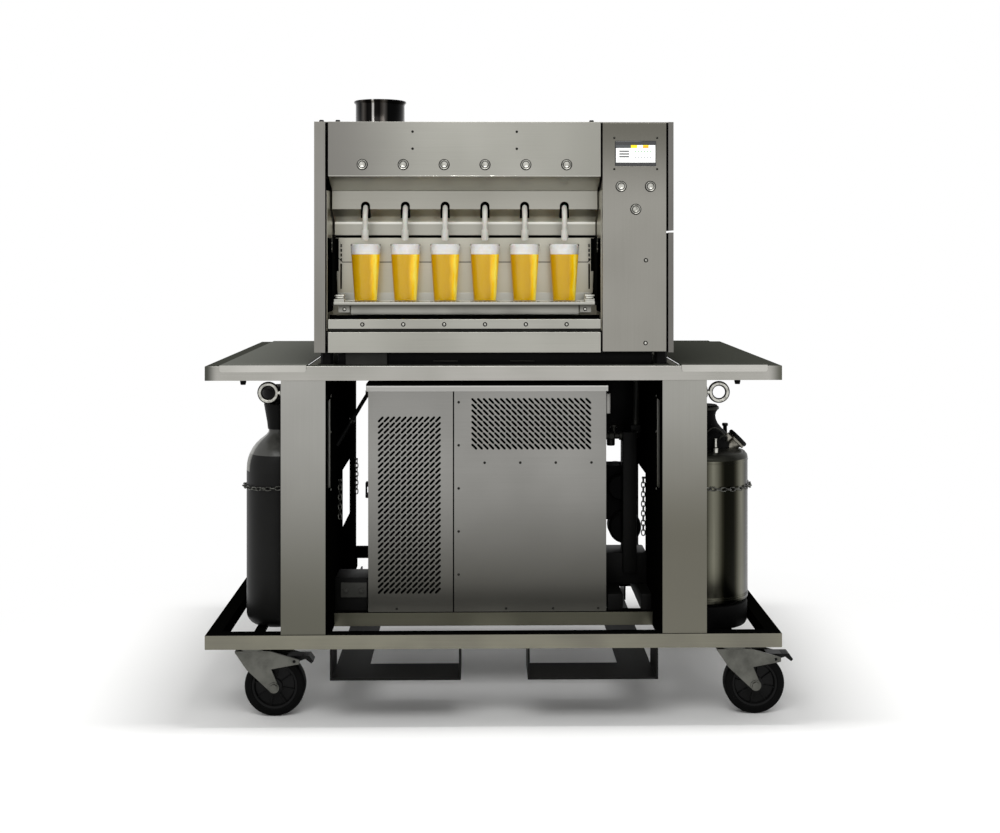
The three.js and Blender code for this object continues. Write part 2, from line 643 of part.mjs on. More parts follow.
function forkSolid(x, y) {
  const crownBottom = CROWN_TOP - CROWN_HEIGHT;
  const axle = x + CASTER_TRAIL;
  const waist = (WHEEL_RADIUS + crownBottom) / 2;
  const outline = new THREE.Shape();
  outline.moveTo(x - FORK_NOSE, crownBottom);
  outline.lineTo(x - FORK_NOSE, crownBottom - FORK_SHEET);
  outline.lineTo(x - FORK_NOSE_LOW, waist);
  outline.lineTo(axle - FORK_LOBE, WHEEL_RADIUS - FORK_LOBE / 2);
  outline.absarc(axle, WHEEL_RADIUS, FORK_LOBE, Math.PI * FORK_LOBE_START_SHARE, Math.PI * 2);
  outline.lineTo(axle - AXLE_RADIUS, waist);
  outline.lineTo(x + FORK_TAIL_REACH, FORK_TAIL_BOTTOM);
  outline.lineTo(x + FORK_TAIL_REACH, FORK_TAIL_TOP);
  outline.lineTo(x + FORK_NOSE, crownBottom);
  const inner = FORK_INSIDE / 2;
  const outer = inner + FORK_SHEET;
  const pivot = [x + PEDAL_PIVOT_REACH, y, PEDAL_PIVOT_HEIGHT];
  const pinHole = rod(PEDAL_PIN_RADIUS + PIN_CLEARANCE, "y", [-FORK_INSIDE, FORK_INSIDE], pivot);
  const plates = [draw(outline, "y", [y - outer, y - inner]), draw(outline, "y", [y + inner, y + outer])];
  const webDepth = [y - inner - FORK_SHEET / 2, y + inner + FORK_SHEET / 2];
  const web = block([x - FORK_NOSE, x + FORK_NOSE], webDepth, [crownBottom - FORK_SHEET, crownBottom]);
  const crown = rod(CROWN_RADIUS, "z", [crownBottom - FORK_SHEET / 2, CROWN_TOP], [x, y, 0], MEDIUM);
  const centre = [axle, y, WHEEL_RADIUS];
  const pin = rod(AXLE_RADIUS, "y", [-outer - AXLE_NUT, outer + AXLE_NUT], centre);
  const nuts = [
    rod(AXLE_NUT_RADIUS, "y", [-outer - AXLE_NUT, -outer + FORK_SHEET / 2], centre, NUT_SIDES),
    rod(AXLE_NUT_RADIUS, "y", [outer - FORK_SHEET / 2, outer + AXLE_NUT], centre, NUT_SIDES),
  ];
  return join(cut(join(plates), pinHole), web, crown, pin, nuts);
}

function wheelSolid(x, y) {
  const half = WHEEL_WIDTH / 2;
  const hub = WHEEL_HUB_WIDTH / 2;
  const web = WHEEL_WEB / 2;
  const profile = [
    [WHEEL_BORE, -hub],
    [WHEEL_HUB_RADIUS, -hub],
    [WHEEL_HUB_RADIUS, -web],
    [WHEEL_RIM_RADIUS, -web],
    [WHEEL_RIM_RADIUS, -half],
    [WHEEL_RADIUS - TREAD_ROUND, -half],
    [WHEEL_RADIUS, TREAD_ROUND - half],
    [WHEEL_RADIUS, half - TREAD_ROUND],
    [WHEEL_RADIUS - TREAD_ROUND, half],
    [WHEEL_RIM_RADIUS, half],
    [WHEEL_RIM_RADIUS, web],
    [WHEEL_HUB_RADIUS, web],
    [WHEEL_HUB_RADIUS, hub],
    [WHEEL_BORE, hub],
  ];
  return turn(profile, "y", [x, y, WHEEL_RADIUS], TREAD_SIDES);
}

function pedalSolid(x, y) {
  const pivotX = x + PEDAL_PIVOT_REACH;
  const top = PEDAL_PIVOT_HEIGHT + PEDAL_THICKNESS;
  const outline = [
    [pivotX - PEDAL_HEEL, top + PEDAL_THICKNESS],
    [pivotX - PEDAL_HEEL, top],
    [pivotX - PEDAL_PIN_RADIUS, PEDAL_PIVOT_HEIGHT - PEDAL_THICKNESS],
    [pivotX + PEDAL_PIN_RADIUS, PEDAL_PIVOT_HEIGHT - PEDAL_THICKNESS],
    [x + PEDAL_TIP_REACH - PEDAL_TOE_LENGTH, top - PEDAL_THICKNESS / 2],
    [x + PEDAL_TIP_REACH - PEDAL_THICKNESS, top - PEDAL_TOE_DROP],
    [x + PEDAL_TIP_REACH, top - PEDAL_TOE_DROP + PEDAL_THICKNESS],
    [x + PEDAL_TIP_REACH - PEDAL_TOE_LENGTH / 2, top + PEDAL_THICKNESS],
  ];
  const lever = draw(outline, "y", [y - PEDAL_WIDTH / 2, y + PEDAL_WIDTH / 2]);
  const half = FORK_INSIDE / 2 + FORK_SHEET;
  const pin = rod(PEDAL_PIN_RADIUS, "y", [-half, half], [pivotX, y, PEDAL_PIVOT_HEIGHT]);
  return join(lever, pin);
}

// Cooler: a cabinet open to the front, a lid, and two front panels
function buildCooler() {
  const x = [COOLER_LEFT, COOLER_RIGHT];
  const front = COOLER_FRONT;
  const back = front + COOLER_DEPTH;
  const bottom = BASE_TOP + SEAT;
  const lidSheet = COOLER_TOP - SHEET;
  const skirt = COOLER_TOP - COOLER_LID_SKIRT;
  const shell = block(x, [front + COOLER_PANEL_DEPTH + SEAT, back], [bottom, lidSheet - SEAT]);
  const inside = block(
    [x[0] + COOLER_WALL, x[1] - COOLER_WALL],
    [front, back - COOLER_WALL],
    [bottom + COOLER_WALL, lidSheet - SEAT - COOLER_WALL],
  );
  piece("cooler_cabinet", cut(shell, inside), brushedSteel());

  const proud = COOLER_LID_PROUD;
  const lid = block([x[0] - proud, x[1] + proud], [front - proud, back + proud], [skirt, COOLER_TOP]);
  const under = block(
    [x[0] - proud + SHEET, x[1] + proud - SHEET],
    [front - proud + SHEET, back + proud - SHEET],
    [skirt - OVERRUN, lidSheet],
  );
  piece("cooler_lid", cut(lid, under), brushedSteel());

  const seam = COOLER_LEFT + COOLER_SEAM;
  const leftMiddle = [x[0] + GRILLE_LEFT_INSET, COOLER_TOP - GRILLE_LEFT_DROP];
  const rightMiddle = [(seam + x[1]) / 2 + GRILLE_RIGHT_SHIFT, COOLER_TOP - GRILLE_RIGHT_DROP];
  const rightColumns = Math.floor((x[1] - seam - 2 * GRILLE_RIGHT_MARGIN) / GRILLE_PITCH) + 1;
  const spans = [
    ["left", [x[0], seam - SEAT], grilleSlots(leftMiddle, GRILLE_LEFT_COUNT, 1)],
    ["right", [seam + SEAT, x[1]], grilleSlots(rightMiddle, [rightColumns, GRILLE_RIGHT_ROWS], -1)],
  ];
  for (const [name, span, slots] of spans) {
    const height = [bottom + SHEET, skirt - SEAT];
    const pan = block(span, [front, front + COOLER_PANEL_DEPTH], height);
    const hollow = block(
      [span[0] + SHEET, span[1] - SHEET],
      [front + SHEET, front + COOLER_PANEL_DEPTH + OVERRUN],
      [height[0] + SHEET, height[1] - SHEET],
    );
    piece("cooler_front_" + name, cut(pan, hollow, slots), brushedSteel());
  }
}

// A grille's slots at 45 degrees, in columns and rows round its middle; lean is 1 or -1
function grilleSlots([x, z], [columns, rows], lean) {
  const along = GRILLE_SLOT_LENGTH / 2;
  const across = GRILLE_SLOT_WIDTH / 2;
  const centre = new THREE.Vector2();
  const corners = [
    [-along, -across],
    [along, -across],
    [along, across],
    [-along, across],
  ].map(([u, v]) => new THREE.Vector2(u, v).rotateAround(centre, (lean * Math.PI) / 4));
  const slots = [];
  for (let column = 0; column < columns; column++) {
    for (let row = 0; row < rows; row++) {
      const middle = new THREE.Vector2(
        x + (column - (columns - 1) / 2) * GRILLE_PITCH,
        z + (row - (rows - 1) / 2) * GRILLE_PITCH,
      );
      slots.push(new THREE.Shape(corners.map((corner) => corner.clone().add(middle))));
    }
  }
  return draw(slots, "y", [COOLER_FRONT - SHEET, COOLER_FRONT + 2 * SHEET]);
}

// Gas bottle with its valve guard, and the keg with its boot; both stand on the flat rails
function buildTanks() {
  const bottom = RAIL_TOP + SEAT;
  const at = [-BOTTLE_X, TANK_Y, 0];
  const dome = BOTTLE_DOME_SHARES.map((share) => {
    const angle = (share * Math.PI) / 2;
    const reach = BOTTLE_RADIUS - BOTTLE_NECK_RADIUS;
    return [
      BOTTLE_NECK_RADIUS + reach * Math.cos(angle),
      BOTTLE_SHOULDER + (BOTTLE_NECK - BOTTLE_SHOULDER) * Math.sin(angle),
    ];
  });
  const neckTop = BOTTLE_NECK + BOTTLE_NECK_HEIGHT;
  const profile = [
    [0, bottom],
    [BOTTLE_RADIUS - BOTTLE_HEEL, bottom],
    [BOTTLE_RADIUS - BOTTLE_HEEL / 4, bottom + BOTTLE_HEEL / 3],
    [BOTTLE_RADIUS, bottom + BOTTLE_HEEL],
    [BOTTLE_RADIUS, BOTTLE_SHOULDER],
    ...dome,
    [BOTTLE_NECK_RADIUS, BOTTLE_NECK],
    [BOTTLE_NECK_RADIUS, neckTop],
    [0, neckTop],
  ];
  piece("gas_bottle", turn(profile, "z", at, FINE), finish(0x2f2f2e, 0.4, 0.1));

  const base = neckTop + SEAT;
  const guard = [
    [0, base],
    [GUARD_RADIUS, base],
    [GUARD_TOP_RADIUS, base + GUARD_HEIGHT],
    [GUARD_TOP_RADIUS - GUARD_WALL, base + GUARD_HEIGHT],
    [GUARD_RADIUS - GUARD_WALL, base + GUARD_WALL],
    [0, base + GUARD_WALL],
  ];
  piece("gas_valve_guard", turn(guard, "z", at, MEDIUM), blackPaint());

  const kegAt = [KEG_X, TANK_Y, 0];
  const bootTop = bottom + KEG_BOOT_HEIGHT;
  const boot = [
    [0, bottom],
    [KEG_BOOT_RADIUS - KEG_EDGE, bottom],
    [KEG_BOOT_RADIUS, bottom + KEG_EDGE],
    [KEG_BOOT_RADIUS, bootTop],
    [0, bootTop],
  ];
  piece("keg_boot", turn(boot, "z", kegAt, FINE), blackRubber());

  const body = [
    [0, bootTop + SEAT],
    [KEG_RADIUS - KEG_EDGE, bootTop + SEAT],
    [KEG_RADIUS, bootTop + SEAT + KEG_EDGE],
    [KEG_RADIUS, KEG_BODY_TOP - KEG_EDGE],
    [KEG_SHOULDER_RADIUS, KEG_BODY_TOP],
    [0, KEG_BODY_TOP + KEG_DOME_RISE],
  ];
  const coupler = [
    [0, KEG_BODY_TOP],
    ...KEG_COUPLER_SHARES.map(([across, up]) => [
      across * KEG_COUPLER_RADIUS,
      KEG_BODY_TOP + up * KEG_COUPLER_HEIGHT,
    ]),
    [0, KEG_BODY_TOP + KEG_COUPLER_HEIGHT],
  ];
  const postHeight = [KEG_BODY_TOP, KEG_BODY_TOP + KEG_POST_HEIGHT];
  const posts = KEG_POST_SHARES.map(([across, back]) => {
    const place = [KEG_X + across * KEG_RADIUS, TANK_Y + back * KEG_RADIUS, 0];
    return rod(KEG_POST_RADIUS, "z", postHeight, place);
  });
  const hatch = [
    slantedDisc(KEG_HATCH_RADIUS, KEG_HATCH_THICKNESS, 0),
    slantedDisc(KEG_HATCH_NECK_RADIUS, KEG_HATCH_NECK_LENGTH, -KEG_HATCH_NECK_LENGTH / 2),
  ];
  const vessel = join(turn(body, "z", kegAt, FINE), turn(coupler, "z", kegAt, MEDIUM));
  piece("keg", join(vessel, posts, hatch), polishedSteel());
}

// A disc of the keg's filling hatch, which leans 45 degrees outwards; shift is along its own axis
function slantedDisc(radius, thickness, shift) {
  const disc = new THREE.CylinderGeometry(radius, radius, thickness, MEDIUM).translate(0, shift, 0);
  const place = [KEG_X + KEG_HATCH_REACH, TANK_Y, KEG_BODY_TOP + KEG_HATCH_RISE];
  return solid(disc.rotateX(Math.PI / 2).rotateY(Math.PI / 4).translate(...place));
}

// Housing of the machine: base pan with feet, roof and back, and side panels
function buildHousing() {
  const inner = HOUSING_SIDE - SHEET - SEAT;
  const depth = [FACE + SHEET + SEAT, HOUSING_BACK - SHEET - SEAT];
  const floor = block([-inner, inner], depth, [HOUSING_BOTTOM, HOUSING_BOTTOM + SHEET]);
  const footHeight = [COUNTER_TOP + SEAT, HOUSING_BOTTOM + SHEET / 2];
  const feet = SIDES.flatMap(([, side]) =>
    [FACE + FOOT_INSET_Y, HOUSING_BACK - FOOT_INSET_Y].map((y) =>
      rod(FOOT_RADIUS, "z", footHeight, [side * (REST_RAIL_INNER + TUBE / 2), y, 0]),
    ),
  );
  piece("base_pan", join(floor, feet), blackPaint());

  const roofPath = [
    [FACE + SHEET + SEAT, HOUSING_TOP - SHEET],
    [HOUSING_BACK - SHEET, HOUSING_TOP - SHEET],
    [HOUSING_BACK - SHEET, HOUSING_BOTTOM + SHEET + SEAT],
  ];
  const roof = draw(foldedSheet(roofPath, SHEET), "x", [-inner, inner]);
  const ductHole = rod(
    DUCT_RADIUS - DUCT_WALL,
    "z",
    [HOUSING_TOP - OVERRUN, HOUSING_TOP + OVERRUN],
    [DUCT_X, FACE + DUCT_SETBACK, 0],
    FINE,
  );
  piece("roof_and_back", cut(roof, ductHole), brushedSteel());

  const split = HOUSING_BOTTOM + HOUSING_HEIGHT * SIDE_SPLIT_SHARE;
  const stiles = [
    ["side_panel_left", -1, LEFT_STILE, [HOUSING_BOTTOM, HOUSING_TOP]],
    ["side_panel_right_upper", 1, RIGHT_STILE, [split + SIDE_SPLIT_GAP / 2, HOUSING_TOP]],
    ["side_panel_right_lower", 1, RIGHT_STILE, [HOUSING_BOTTOM, split - SIDE_SPLIT_GAP / 2]],
  ];
  for (const [name, side, stile, height] of stiles) {
    const path = [
      [side * (HOUSING_SIDE - stile), FACE],
      [side * HOUSING_SIDE, FACE],
      [side * HOUSING_SIDE, HOUSING_BACK],
    ];
    const sheet = foldedSheet(path, side * SHEET);
    piece(name, draw(sheet, "z", height), brushedSteel());
  }
}

const tapX = (i) => TAP_FIRST + i * TAP_PITCH;
const TAPS = Array.from({ length: TAP_COUNT }, (_, i) => i);

// A raised ring round a button hole, with its hole, on a panel that faces -Y
function bezel(x, z) {
  const slope = BEZEL_PROUD / 2;
  const profile = [
    [BUTTON_RADIUS + SEAT, SHEET / 2],
    [BEZEL_RADIUS, SHEET / 2],
    [BEZEL_RADIUS, -slope],
    [BEZEL_RADIUS - slope, -BEZEL_PROUD],
    [BUTTON_RADIUS + SEAT, -BEZEL_PROUD],
  ];
  return turn(profile, "y", [x, FACE, z], COARSE);
}
const buttonHole = (x, z) => rod(BUTTON_RADIUS + SEAT, "y", [-OVERRUN, OVERRUN], [x, FACE, z], COARSE);

function buttonSolid(x, z) {
  const back = SHEET + SEAT;
  const profile = [
    [0, -BUTTON_PROUD],
    [BUTTON_RADIUS, -BUTTON_PROUD],
    [BUTTON_RADIUS, back],
    [BUTTON_RADIUS + BUTTON_COLLAR, back],
    [BUTTON_RADIUS + BUTTON_COLLAR, back + BUTTON_COLLAR],
    [BUTTON_STEM_RADIUS, back + BUTTON_COLLAR],
    [BUTTON_STEM_RADIUS, BUTTON_LENGTH],
    [0, BUTTON_LENGTH],
  ];
  return turn(profile, "y", [x, FACE, z], COARSE);
}

// Head: the fascia with its soffit, and the folded cover with a slot for each spout
function buildHead() {
  const span = [NICHE_LEFT, NICHE_RIGHT];
  const top = HOUSING_TOP - SHEET - SEAT;
  const path = [
    [COVER_Y, SOFFIT_Z - SOFFIT_DROP],
    [FACE, SOFFIT_Z],
    [FACE, top],
    [FACE + RETURN, top],
  ];
  const fascia = draw(foldedSheet(path.reverse(), SHEET), "x", span);
  const lip = block(span, [FACE, FACE + SHEET], [top - SHEET, HOUSING_TOP]);
  const holes = TAPS.map((i) => buttonHole(tapX(i), BUTTON_Z));
  const bezels = TAPS.map((i) => bezel(tapX(i), BUTTON_Z));
  piece("upper_fascia", join(cut(join(fascia, lip), holes), bezels), brushedSteel());
  for (const i of TAPS) piece("tap_button_" + (i + 1), buttonSolid(tapX(i), BUTTON_Z), polishedSteel());

  const coverPath = [
    [COVER_Y + RETURN, COVER_TOP],
    [COVER_Y, COVER_TOP],
    [COVER_Y, COVER_FOLD],
    [APRON_Y, APRON_TOP],
    [APRON_Y, APRON_BOTTOM],
    [APRON_Y + RETURN, APRON_BOTTOM],
  ];
  const cover = draw(foldedSheet(coverPath, SHEET), "x", span);
  const slotTop = COVER_TOP - SLOT_TOP_INSET;
  const slots = TAPS.map((i) => {
    const across = [tapX(i) - SLOT_WIDTH / 2, tapX(i) + SLOT_WIDTH / 2];
    const shape = new THREE.Shape();
    shape.moveTo(across[0], slotTop - SLOT_HEIGHT);
    shape.lineTo(across[1], slotTop - SLOT_HEIGHT);
    shape.lineTo(across[1], slotTop - SLOT_WIDTH / 2);
    shape.absarc(tapX(i), slotTop - SLOT_WIDTH / 2, SLOT_WIDTH / 2, 0, Math.PI);
    return draw(shape, "y", [COVER_Y - OVERRUN, APRON_Y - OVERRUN], 8);
  });
  piece("spout_cover", cut(cover, slots), brushedSteel());
}

// Niche behind the cups, and the trim, tray and fascia under it
function buildNiche() {
  const wallBack = APRON_Y + SHEET;
  const topOfBack = APRON_BOTTOM - PANEL_GAP;
  const leaned = wallBack - NICHE_LEAN;
  const backPath = [
    [leaned, NICHE_BOTTOM + SEAT],
    [leaned, NICHE_FOLD],
    [wallBack, NICHE_BEND],
    [wallBack, topOfBack],
  ];
  const back = draw(foldedSheet(backPath, -SHEET), "x", [WING_LEFT + SHEET / 2, WING_RIGHT - SHEET / 2]);
  const wingTop = SOFFIT_Z - SOFFIT_DROP - PANEL_GAP;
  const wings = [
    [WING_LEFT, WING_LEFT + SHEET],
    [WING_RIGHT - SHEET, WING_RIGHT],
  ].map((x) => block(x, [FACE + SHEET + LOWER_RETURN, wallBack + RETURN], [NICHE_BOTTOM, wingTop]));
  const pivot = rod(
    RACK_PIN_RADIUS + PIN_CLEARANCE,
    "x",
    [WING_LEFT - OVERRUN, WING_RIGHT + OVERRUN],
    [0, SPOUT_Y, SPOUT_TIP_Z],
    COARSE,
  );
  const slits = [NICHE_LEFT + NICHE_SLIT_INSET, NICHE_RIGHT - NICHE_SLIT_INSET].flatMap((x) => {
    const across = [x - NICHE_SLIT_WIDTH / 2, x + NICHE_SLIT_WIDTH / 2];
    const depth = [leaned - OVERRUN, wallBack + SHEET + OVERRUN];
    const dashes = Array.from({ length: NICHE_DASH_COUNT }, (_, i) => {
      const start = NICHE_BEND + (i + 0.5) * NICHE_DASH_PITCH;
      return block(across, depth, [start - NICHE_DASH / 2, start + NICHE_DASH / 2]);
    });
    return [block(across, depth, [NICHE_SLIT_BOTTOM, NICHE_BEND - NICHE_SLIT_WIDTH]), ...dashes];
  });
  piece("niche_back", cut(join(back, wings), pivot, slits), brushedSteel());

  const lowerTop = HOUSING_BOTTOM + LOWER_FASCIA_HEIGHT;
  const lowerPath = [
    [FACE + LOWER_RETURN, lowerTop],
    [FACE, lowerTop],
    [FACE, HOUSING_BOTTOM],
  ];
  piece("lower_fascia", draw(foldedSheet(lowerPath, SHEET), "x", [NICHE_LEFT, NICHE_RIGHT]), brushedSteel());

  const trimY = FACE + TRIM_SETBACK;
  const trimPath = [
    [trimY + TRIM_RETURN, TRIM_BOTTOM + TRIM_HEIGHT],
    [trimY, TRIM_BOTTOM + TRIM_HEIGHT],
    [trimY, TRIM_BOTTOM],
    [trimY + TRIM_RETURN, TRIM_BOTTOM],
  ];
  piece("trim_rail", draw(foldedSheet(trimPath, SHEET), "x", [NICHE_LEFT, NICHE_RIGHT]), brushedSteel());

  const trayFront = trimY + TRIM_RETURN + SEAT;
  const trayBottom = lowerTop + SEAT;
  const trayDepth = [trayFront, trayFront + TRAY_DEPTH];
  const tray = block([NICHE_LEFT, NICHE_RIGHT], trayDepth, [trayBottom, trayBottom + TRAY_HEIGHT]);
  const well = block(
    [NICHE_LEFT + SHEET, NICHE_RIGHT - SHEET],
    [trayFront + SHEET, trayFront + TRAY_DEPTH - SHEET],
    [trayBottom + SHEET, trayBottom + TRAY_HEIGHT + OVERRUN],
  );
  piece("drip_tray", cut(tray, well), darkSteel());
}

// Control column with its screen and three buttons
function buildControls() {
  const path = [
    [COLUMN_RIGHT, FACE + LOWER_RETURN],
    [COLUMN_RIGHT, FACE],
    [COLUMN_LEFT, FACE],
    [COLUMN_LEFT, APRON_Y],
  ];
  const height = [HOUSING_BOTTOM + SHEET + SEAT, HOUSING_TOP - SHEET - SEAT];
  const sheet = draw(foldedSheet(path.reverse(), SHEET), "z", height);
  const screenAcross = [SCREEN_X - SCREEN_WIDTH / 2, SCREEN_X + SCREEN_WIDTH / 2];
  const screenUp = [SCREEN_Z - SCREEN_HEIGHT / 2, SCREEN_Z + SCREEN_HEIGHT / 2];
  const window = block(
    [screenAcross[0] - SEAT, screenAcross[1] + SEAT],
    [FACE - OVERRUN, FACE + OVERRUN],
    [screenUp[0] - SEAT, screenUp[1] + SEAT],
  );
  const places = [
    [SIDE_BUTTON_X - SIDE_BUTTON_SPREAD, SIDE_BUTTON_UPPER_Z],
    [SIDE_BUTTON_X + SIDE_BUTTON_SPREAD, SIDE_BUTTON_UPPER_Z],
    [SIDE_BUTTON_X, SIDE_BUTTON_LOWER_Z],
  ];
  const holes = places.map(([x, z]) => buttonHole(x, z));
  const bezels = places.map(([x, z]) => bezel(x, z));
  piece("control_panel", join(cut(sheet, window, holes), bezels), brushedSteel());
  places.forEach(([x, z], i) => piece("side_button_" + (i + 1), buttonSolid(x, z), polishedSteel()));

  const front = FACE - SCREEN_PROUD;
  piece("touch_screen", block(screenAcross, [front, front + SCREEN_DEPTH], screenUp), screenGlass());
}

// Six hoses on one manifold, each through its slot to a rounded nozzle over its cup
function buildSpouts() {
  const slotMiddle = COVER_TOP - SLOT_TOP_INSET - SLOT_HEIGHT / 2;
  const railY = COVER_Y + HEAD_OVERHANG / 2;
  const railZ = COVER_TOP + SHEET;
  const parts = TAPS.map((i) => {
    const x = tapX(i);
    const nozzleTop = SPOUT_TIP_Z + NOZZLE_LENGTH;
    const bend = new THREE.CatmullRomCurve3([
      new THREE.Vector3(x, railY, railZ),
      new THREE.Vector3(x, (railY + COVER_Y) / 2, slotMiddle + SLOT_HEIGHT / 2),
      new THREE.Vector3(x, COVER_Y, slotMiddle),
      new THREE.Vector3(x, SPOUT_Y, (slotMiddle + nozzleTop) / 2),
      new THREE.Vector3(x, SPOUT_Y, nozzleTop - NOZZLE_ROUND),
    ]);
    const ring = new THREE.Shape().absarc(0, 0, SPOUT_RADIUS, 0, 2 * Math.PI);
    const hose = solid(
      new THREE.ExtrudeGeometry(ring, {
        extrudePath: bend,
        steps: HOSE_STEPS,
        curveSegments: HOSE_SIDES / 2,
        bevelEnabled: false,
      }),
    );
    const nozzle = turn(
      [
        [0, SPOUT_TIP_Z],
        [NOZZLE_RADIUS - NOZZLE_ROUND, SPOUT_TIP_Z],
        [NOZZLE_RADIUS, SPOUT_TIP_Z + NOZZLE_ROUND],
        [NOZZLE_RADIUS, nozzleTop],
        [0, nozzleTop],
      ],
      "z",
      [x, SPOUT_Y, 0],
      PLAIN,
    );
    return join(hose, nozzle);
  });
  const railAcross = [tapX(0) - TAP_PITCH / 5, tapX(TAP_COUNT - 1) + TAP_PITCH / 5];
  const rail = rod(MANIFOLD_RADIUS, "x", railAcross, [0, railY, railZ]);
  const bracketTop = COVER_TOP - SHEET - SEAT;
  const brackets = [0, TAP_COUNT - 2].map((i) => {
    const x = tapX(i) + TAP_PITCH / 2;
    const across = [x - MANIFOLD_RADIUS, x + MANIFOLD_RADIUS];
    return block(across, [COVER_Y + SHEET + SEAT, railY], [bracketTop - 2 * MANIFOLD_RADIUS, bracketTop]);
  });
  piece("spout_manifold", join(rail, parts, brackets), clearHose());
}

// Tilting rack on side arms, and a filled cup under each spout
function buildRack() {
  const span = [RACK_LEFT, RACK_RIGHT];
  const back = RACK_FRONT + RACK_DEPTH;
  const bottom = RACK_TOP - RACK_PLATE;
  const plate = block(span, [RACK_FRONT, back], [bottom, RACK_TOP]);
  const upstand = block(span, [back - SHEET, back], [bottom, RACK_TOP + RACK_UPSTAND]);
  const inset = RACK_CHANNEL_INSET;
  const channelFront = back - RACK_CHANNEL_DEPTH;
  const channelPath = [
    [channelFront, bottom + SHEET],
    [channelFront, bottom - RACK_CHANNEL_HEIGHT],
    [back, bottom - RACK_CHANNEL_HEIGHT],
    [back, bottom + SHEET],
  ];
  const channel = draw(foldedSheet(channelPath, SHEET), "x", [span[0] + inset, span[1] - inset]);
  const bracketHeight = [bottom - RACK_BRACKET_HEIGHT, bottom + SHEET];
  const bracketStarts = [span[0] + RACK_BRACKET_INSET, span[1] - RACK_BRACKET_INSET - RACK_BRACKET_WIDTH];
  const brackets = bracketStarts.map((x) =>
    block([x, x + RACK_BRACKET_WIDTH], [channelFront, channelFront + SHEET], bracketHeight),
  );
  const arms = [
    [span[0], span[0] + RACK_ARM],
    [span[1] - RACK_ARM, span[1]],
  ].map((x) => {
    const shape = new THREE.Shape();
    shape.moveTo(back - RACK_ARM_FOOT, bottom + SHEET);
    shape.lineTo(back, bottom + SHEET);
    shape.lineTo(back, RACK_TOP + RACK_UPSTAND);
    shape.lineTo(SPOUT_Y + RACK_BOSS, SPOUT_TIP_Z);
    shape.absarc(SPOUT_Y, SPOUT_TIP_Z, RACK_BOSS, 0, Math.PI);
    return draw(shape, "x", x, 6);
  });
  const at = [0, SPOUT_Y, SPOUT_TIP_Z];
  const pins = [
    rod(RACK_PIN_RADIUS, "x", [WING_LEFT, span[0] + RACK_ARM], at),
    rod(RACK_PIN_RADIUS, "x", [span[1] - RACK_ARM, WING_RIGHT], at),
  ];
  const padDepth = [RACK_FRONT + RACK_ARM, RACK_FRONT + RACK_ARM + RACK_PAD_DEPTH];
  const pads = [span[0] + RACK_ARM, span[1] - RACK_ARM - RACK_PAD_WIDTH].map((x) =>
    block([x, x + RACK_PAD_WIDTH], padDepth, [bottom, RACK_TOP + RACK_PAD_HEIGHT]),
  );
  piece("tilting_rack", join(plate, upstand, channel, brackets, arms, pins, pads), darkSteel());

  const base = RACK_TOP + SEAT;
  for (const i of TAPS) {
    const profile = [
      [0, base],
      [CUP_BASE_RADIUS, base],
      [CUP_RIM_RADIUS, base + CUP_HEIGHT],
      [CUP_RIM_RADIUS - CUP_WALL, base + CUP_HEIGHT],
      [CUP_RIM_RADIUS - CUP_WALL, base + CUP_HEIGHT - CUP_FILL_GAP],
      [0, base + CUP_HEIGHT - CUP_FILL_GAP],
    ];
    piece("cup_" + (i + 1), turn(profile, "z", [tapX(i), CUP_Y, 0], MEDIUM), beer());
  }
}

// Duct collar: a flanged tube with a rolled mouth on the roof
function buildDuct() {
  const base = HOUSING_TOP + SEAT;
  const top = HOUSING_TOP + DUCT_HEIGHT;
  const inner = DUCT_RADIUS - DUCT_WALL;
  const profile = [
    [inner, base],
    [DUCT_RADIUS + DUCT_FLANGE, base],
    [DUCT_RADIUS + DUCT_FLANGE, base + DUCT_WALL],
    [DUCT_RADIUS, base + DUCT_WALL],
    [DUCT_RADIUS, top - DUCT_FLARE_HEIGHT],
    [DUCT_RADIUS + DUCT_FLARE, top - DUCT_WALL],
    [DUCT_RADIUS + DUCT_FLARE, top],
    [inner + DUCT_FLARE, top],
    [inner, top - DUCT_FLARE_HEIGHT],
  ];
  piece("duct_collar", turn(profile, "z", [DUCT_X, FACE + DUCT_SETBACK, 0], FINE), darkSteel());
}

buildCounter();
buildBase();
buildLegs();
buildPockets();
buildCasters();
buildCooler();
buildTanks();
buildHousing();
buildHead();
buildNiche();
buildControls();
buildSpouts();
buildRack();
buildDuct();

export default root;
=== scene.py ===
"""Dresses the draft beer dispenser and its rolling counter for a studio picture.

Plan sizes in this file are in millimetres with X from the middle of the counter, as the part was drawn.
The functions at and place_piece turn them into the row's metres, where the middle of the part's whole box is
the origin.
"""

import logging
import math
from dataclasses import dataclass
from enum import Enum
from typing import Iterable, Optional, Sequence

import bmesh
import bpy
from bmesh.types import BMesh, BMVert
from bpy.types import Node, NodeSocket, NodeTree
from mathutils import Matrix, Vector


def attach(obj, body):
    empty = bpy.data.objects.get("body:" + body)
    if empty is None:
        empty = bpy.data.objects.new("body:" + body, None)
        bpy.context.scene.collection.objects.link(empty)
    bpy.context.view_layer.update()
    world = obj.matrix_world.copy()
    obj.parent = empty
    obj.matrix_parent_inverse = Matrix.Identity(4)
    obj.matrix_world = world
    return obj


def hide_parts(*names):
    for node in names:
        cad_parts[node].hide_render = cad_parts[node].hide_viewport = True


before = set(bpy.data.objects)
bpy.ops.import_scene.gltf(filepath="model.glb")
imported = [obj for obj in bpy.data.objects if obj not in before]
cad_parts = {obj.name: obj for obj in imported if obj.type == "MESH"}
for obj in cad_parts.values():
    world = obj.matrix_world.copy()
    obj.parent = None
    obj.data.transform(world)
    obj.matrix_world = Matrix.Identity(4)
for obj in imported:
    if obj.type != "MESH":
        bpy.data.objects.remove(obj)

log = logging.getLogger("dispenser")

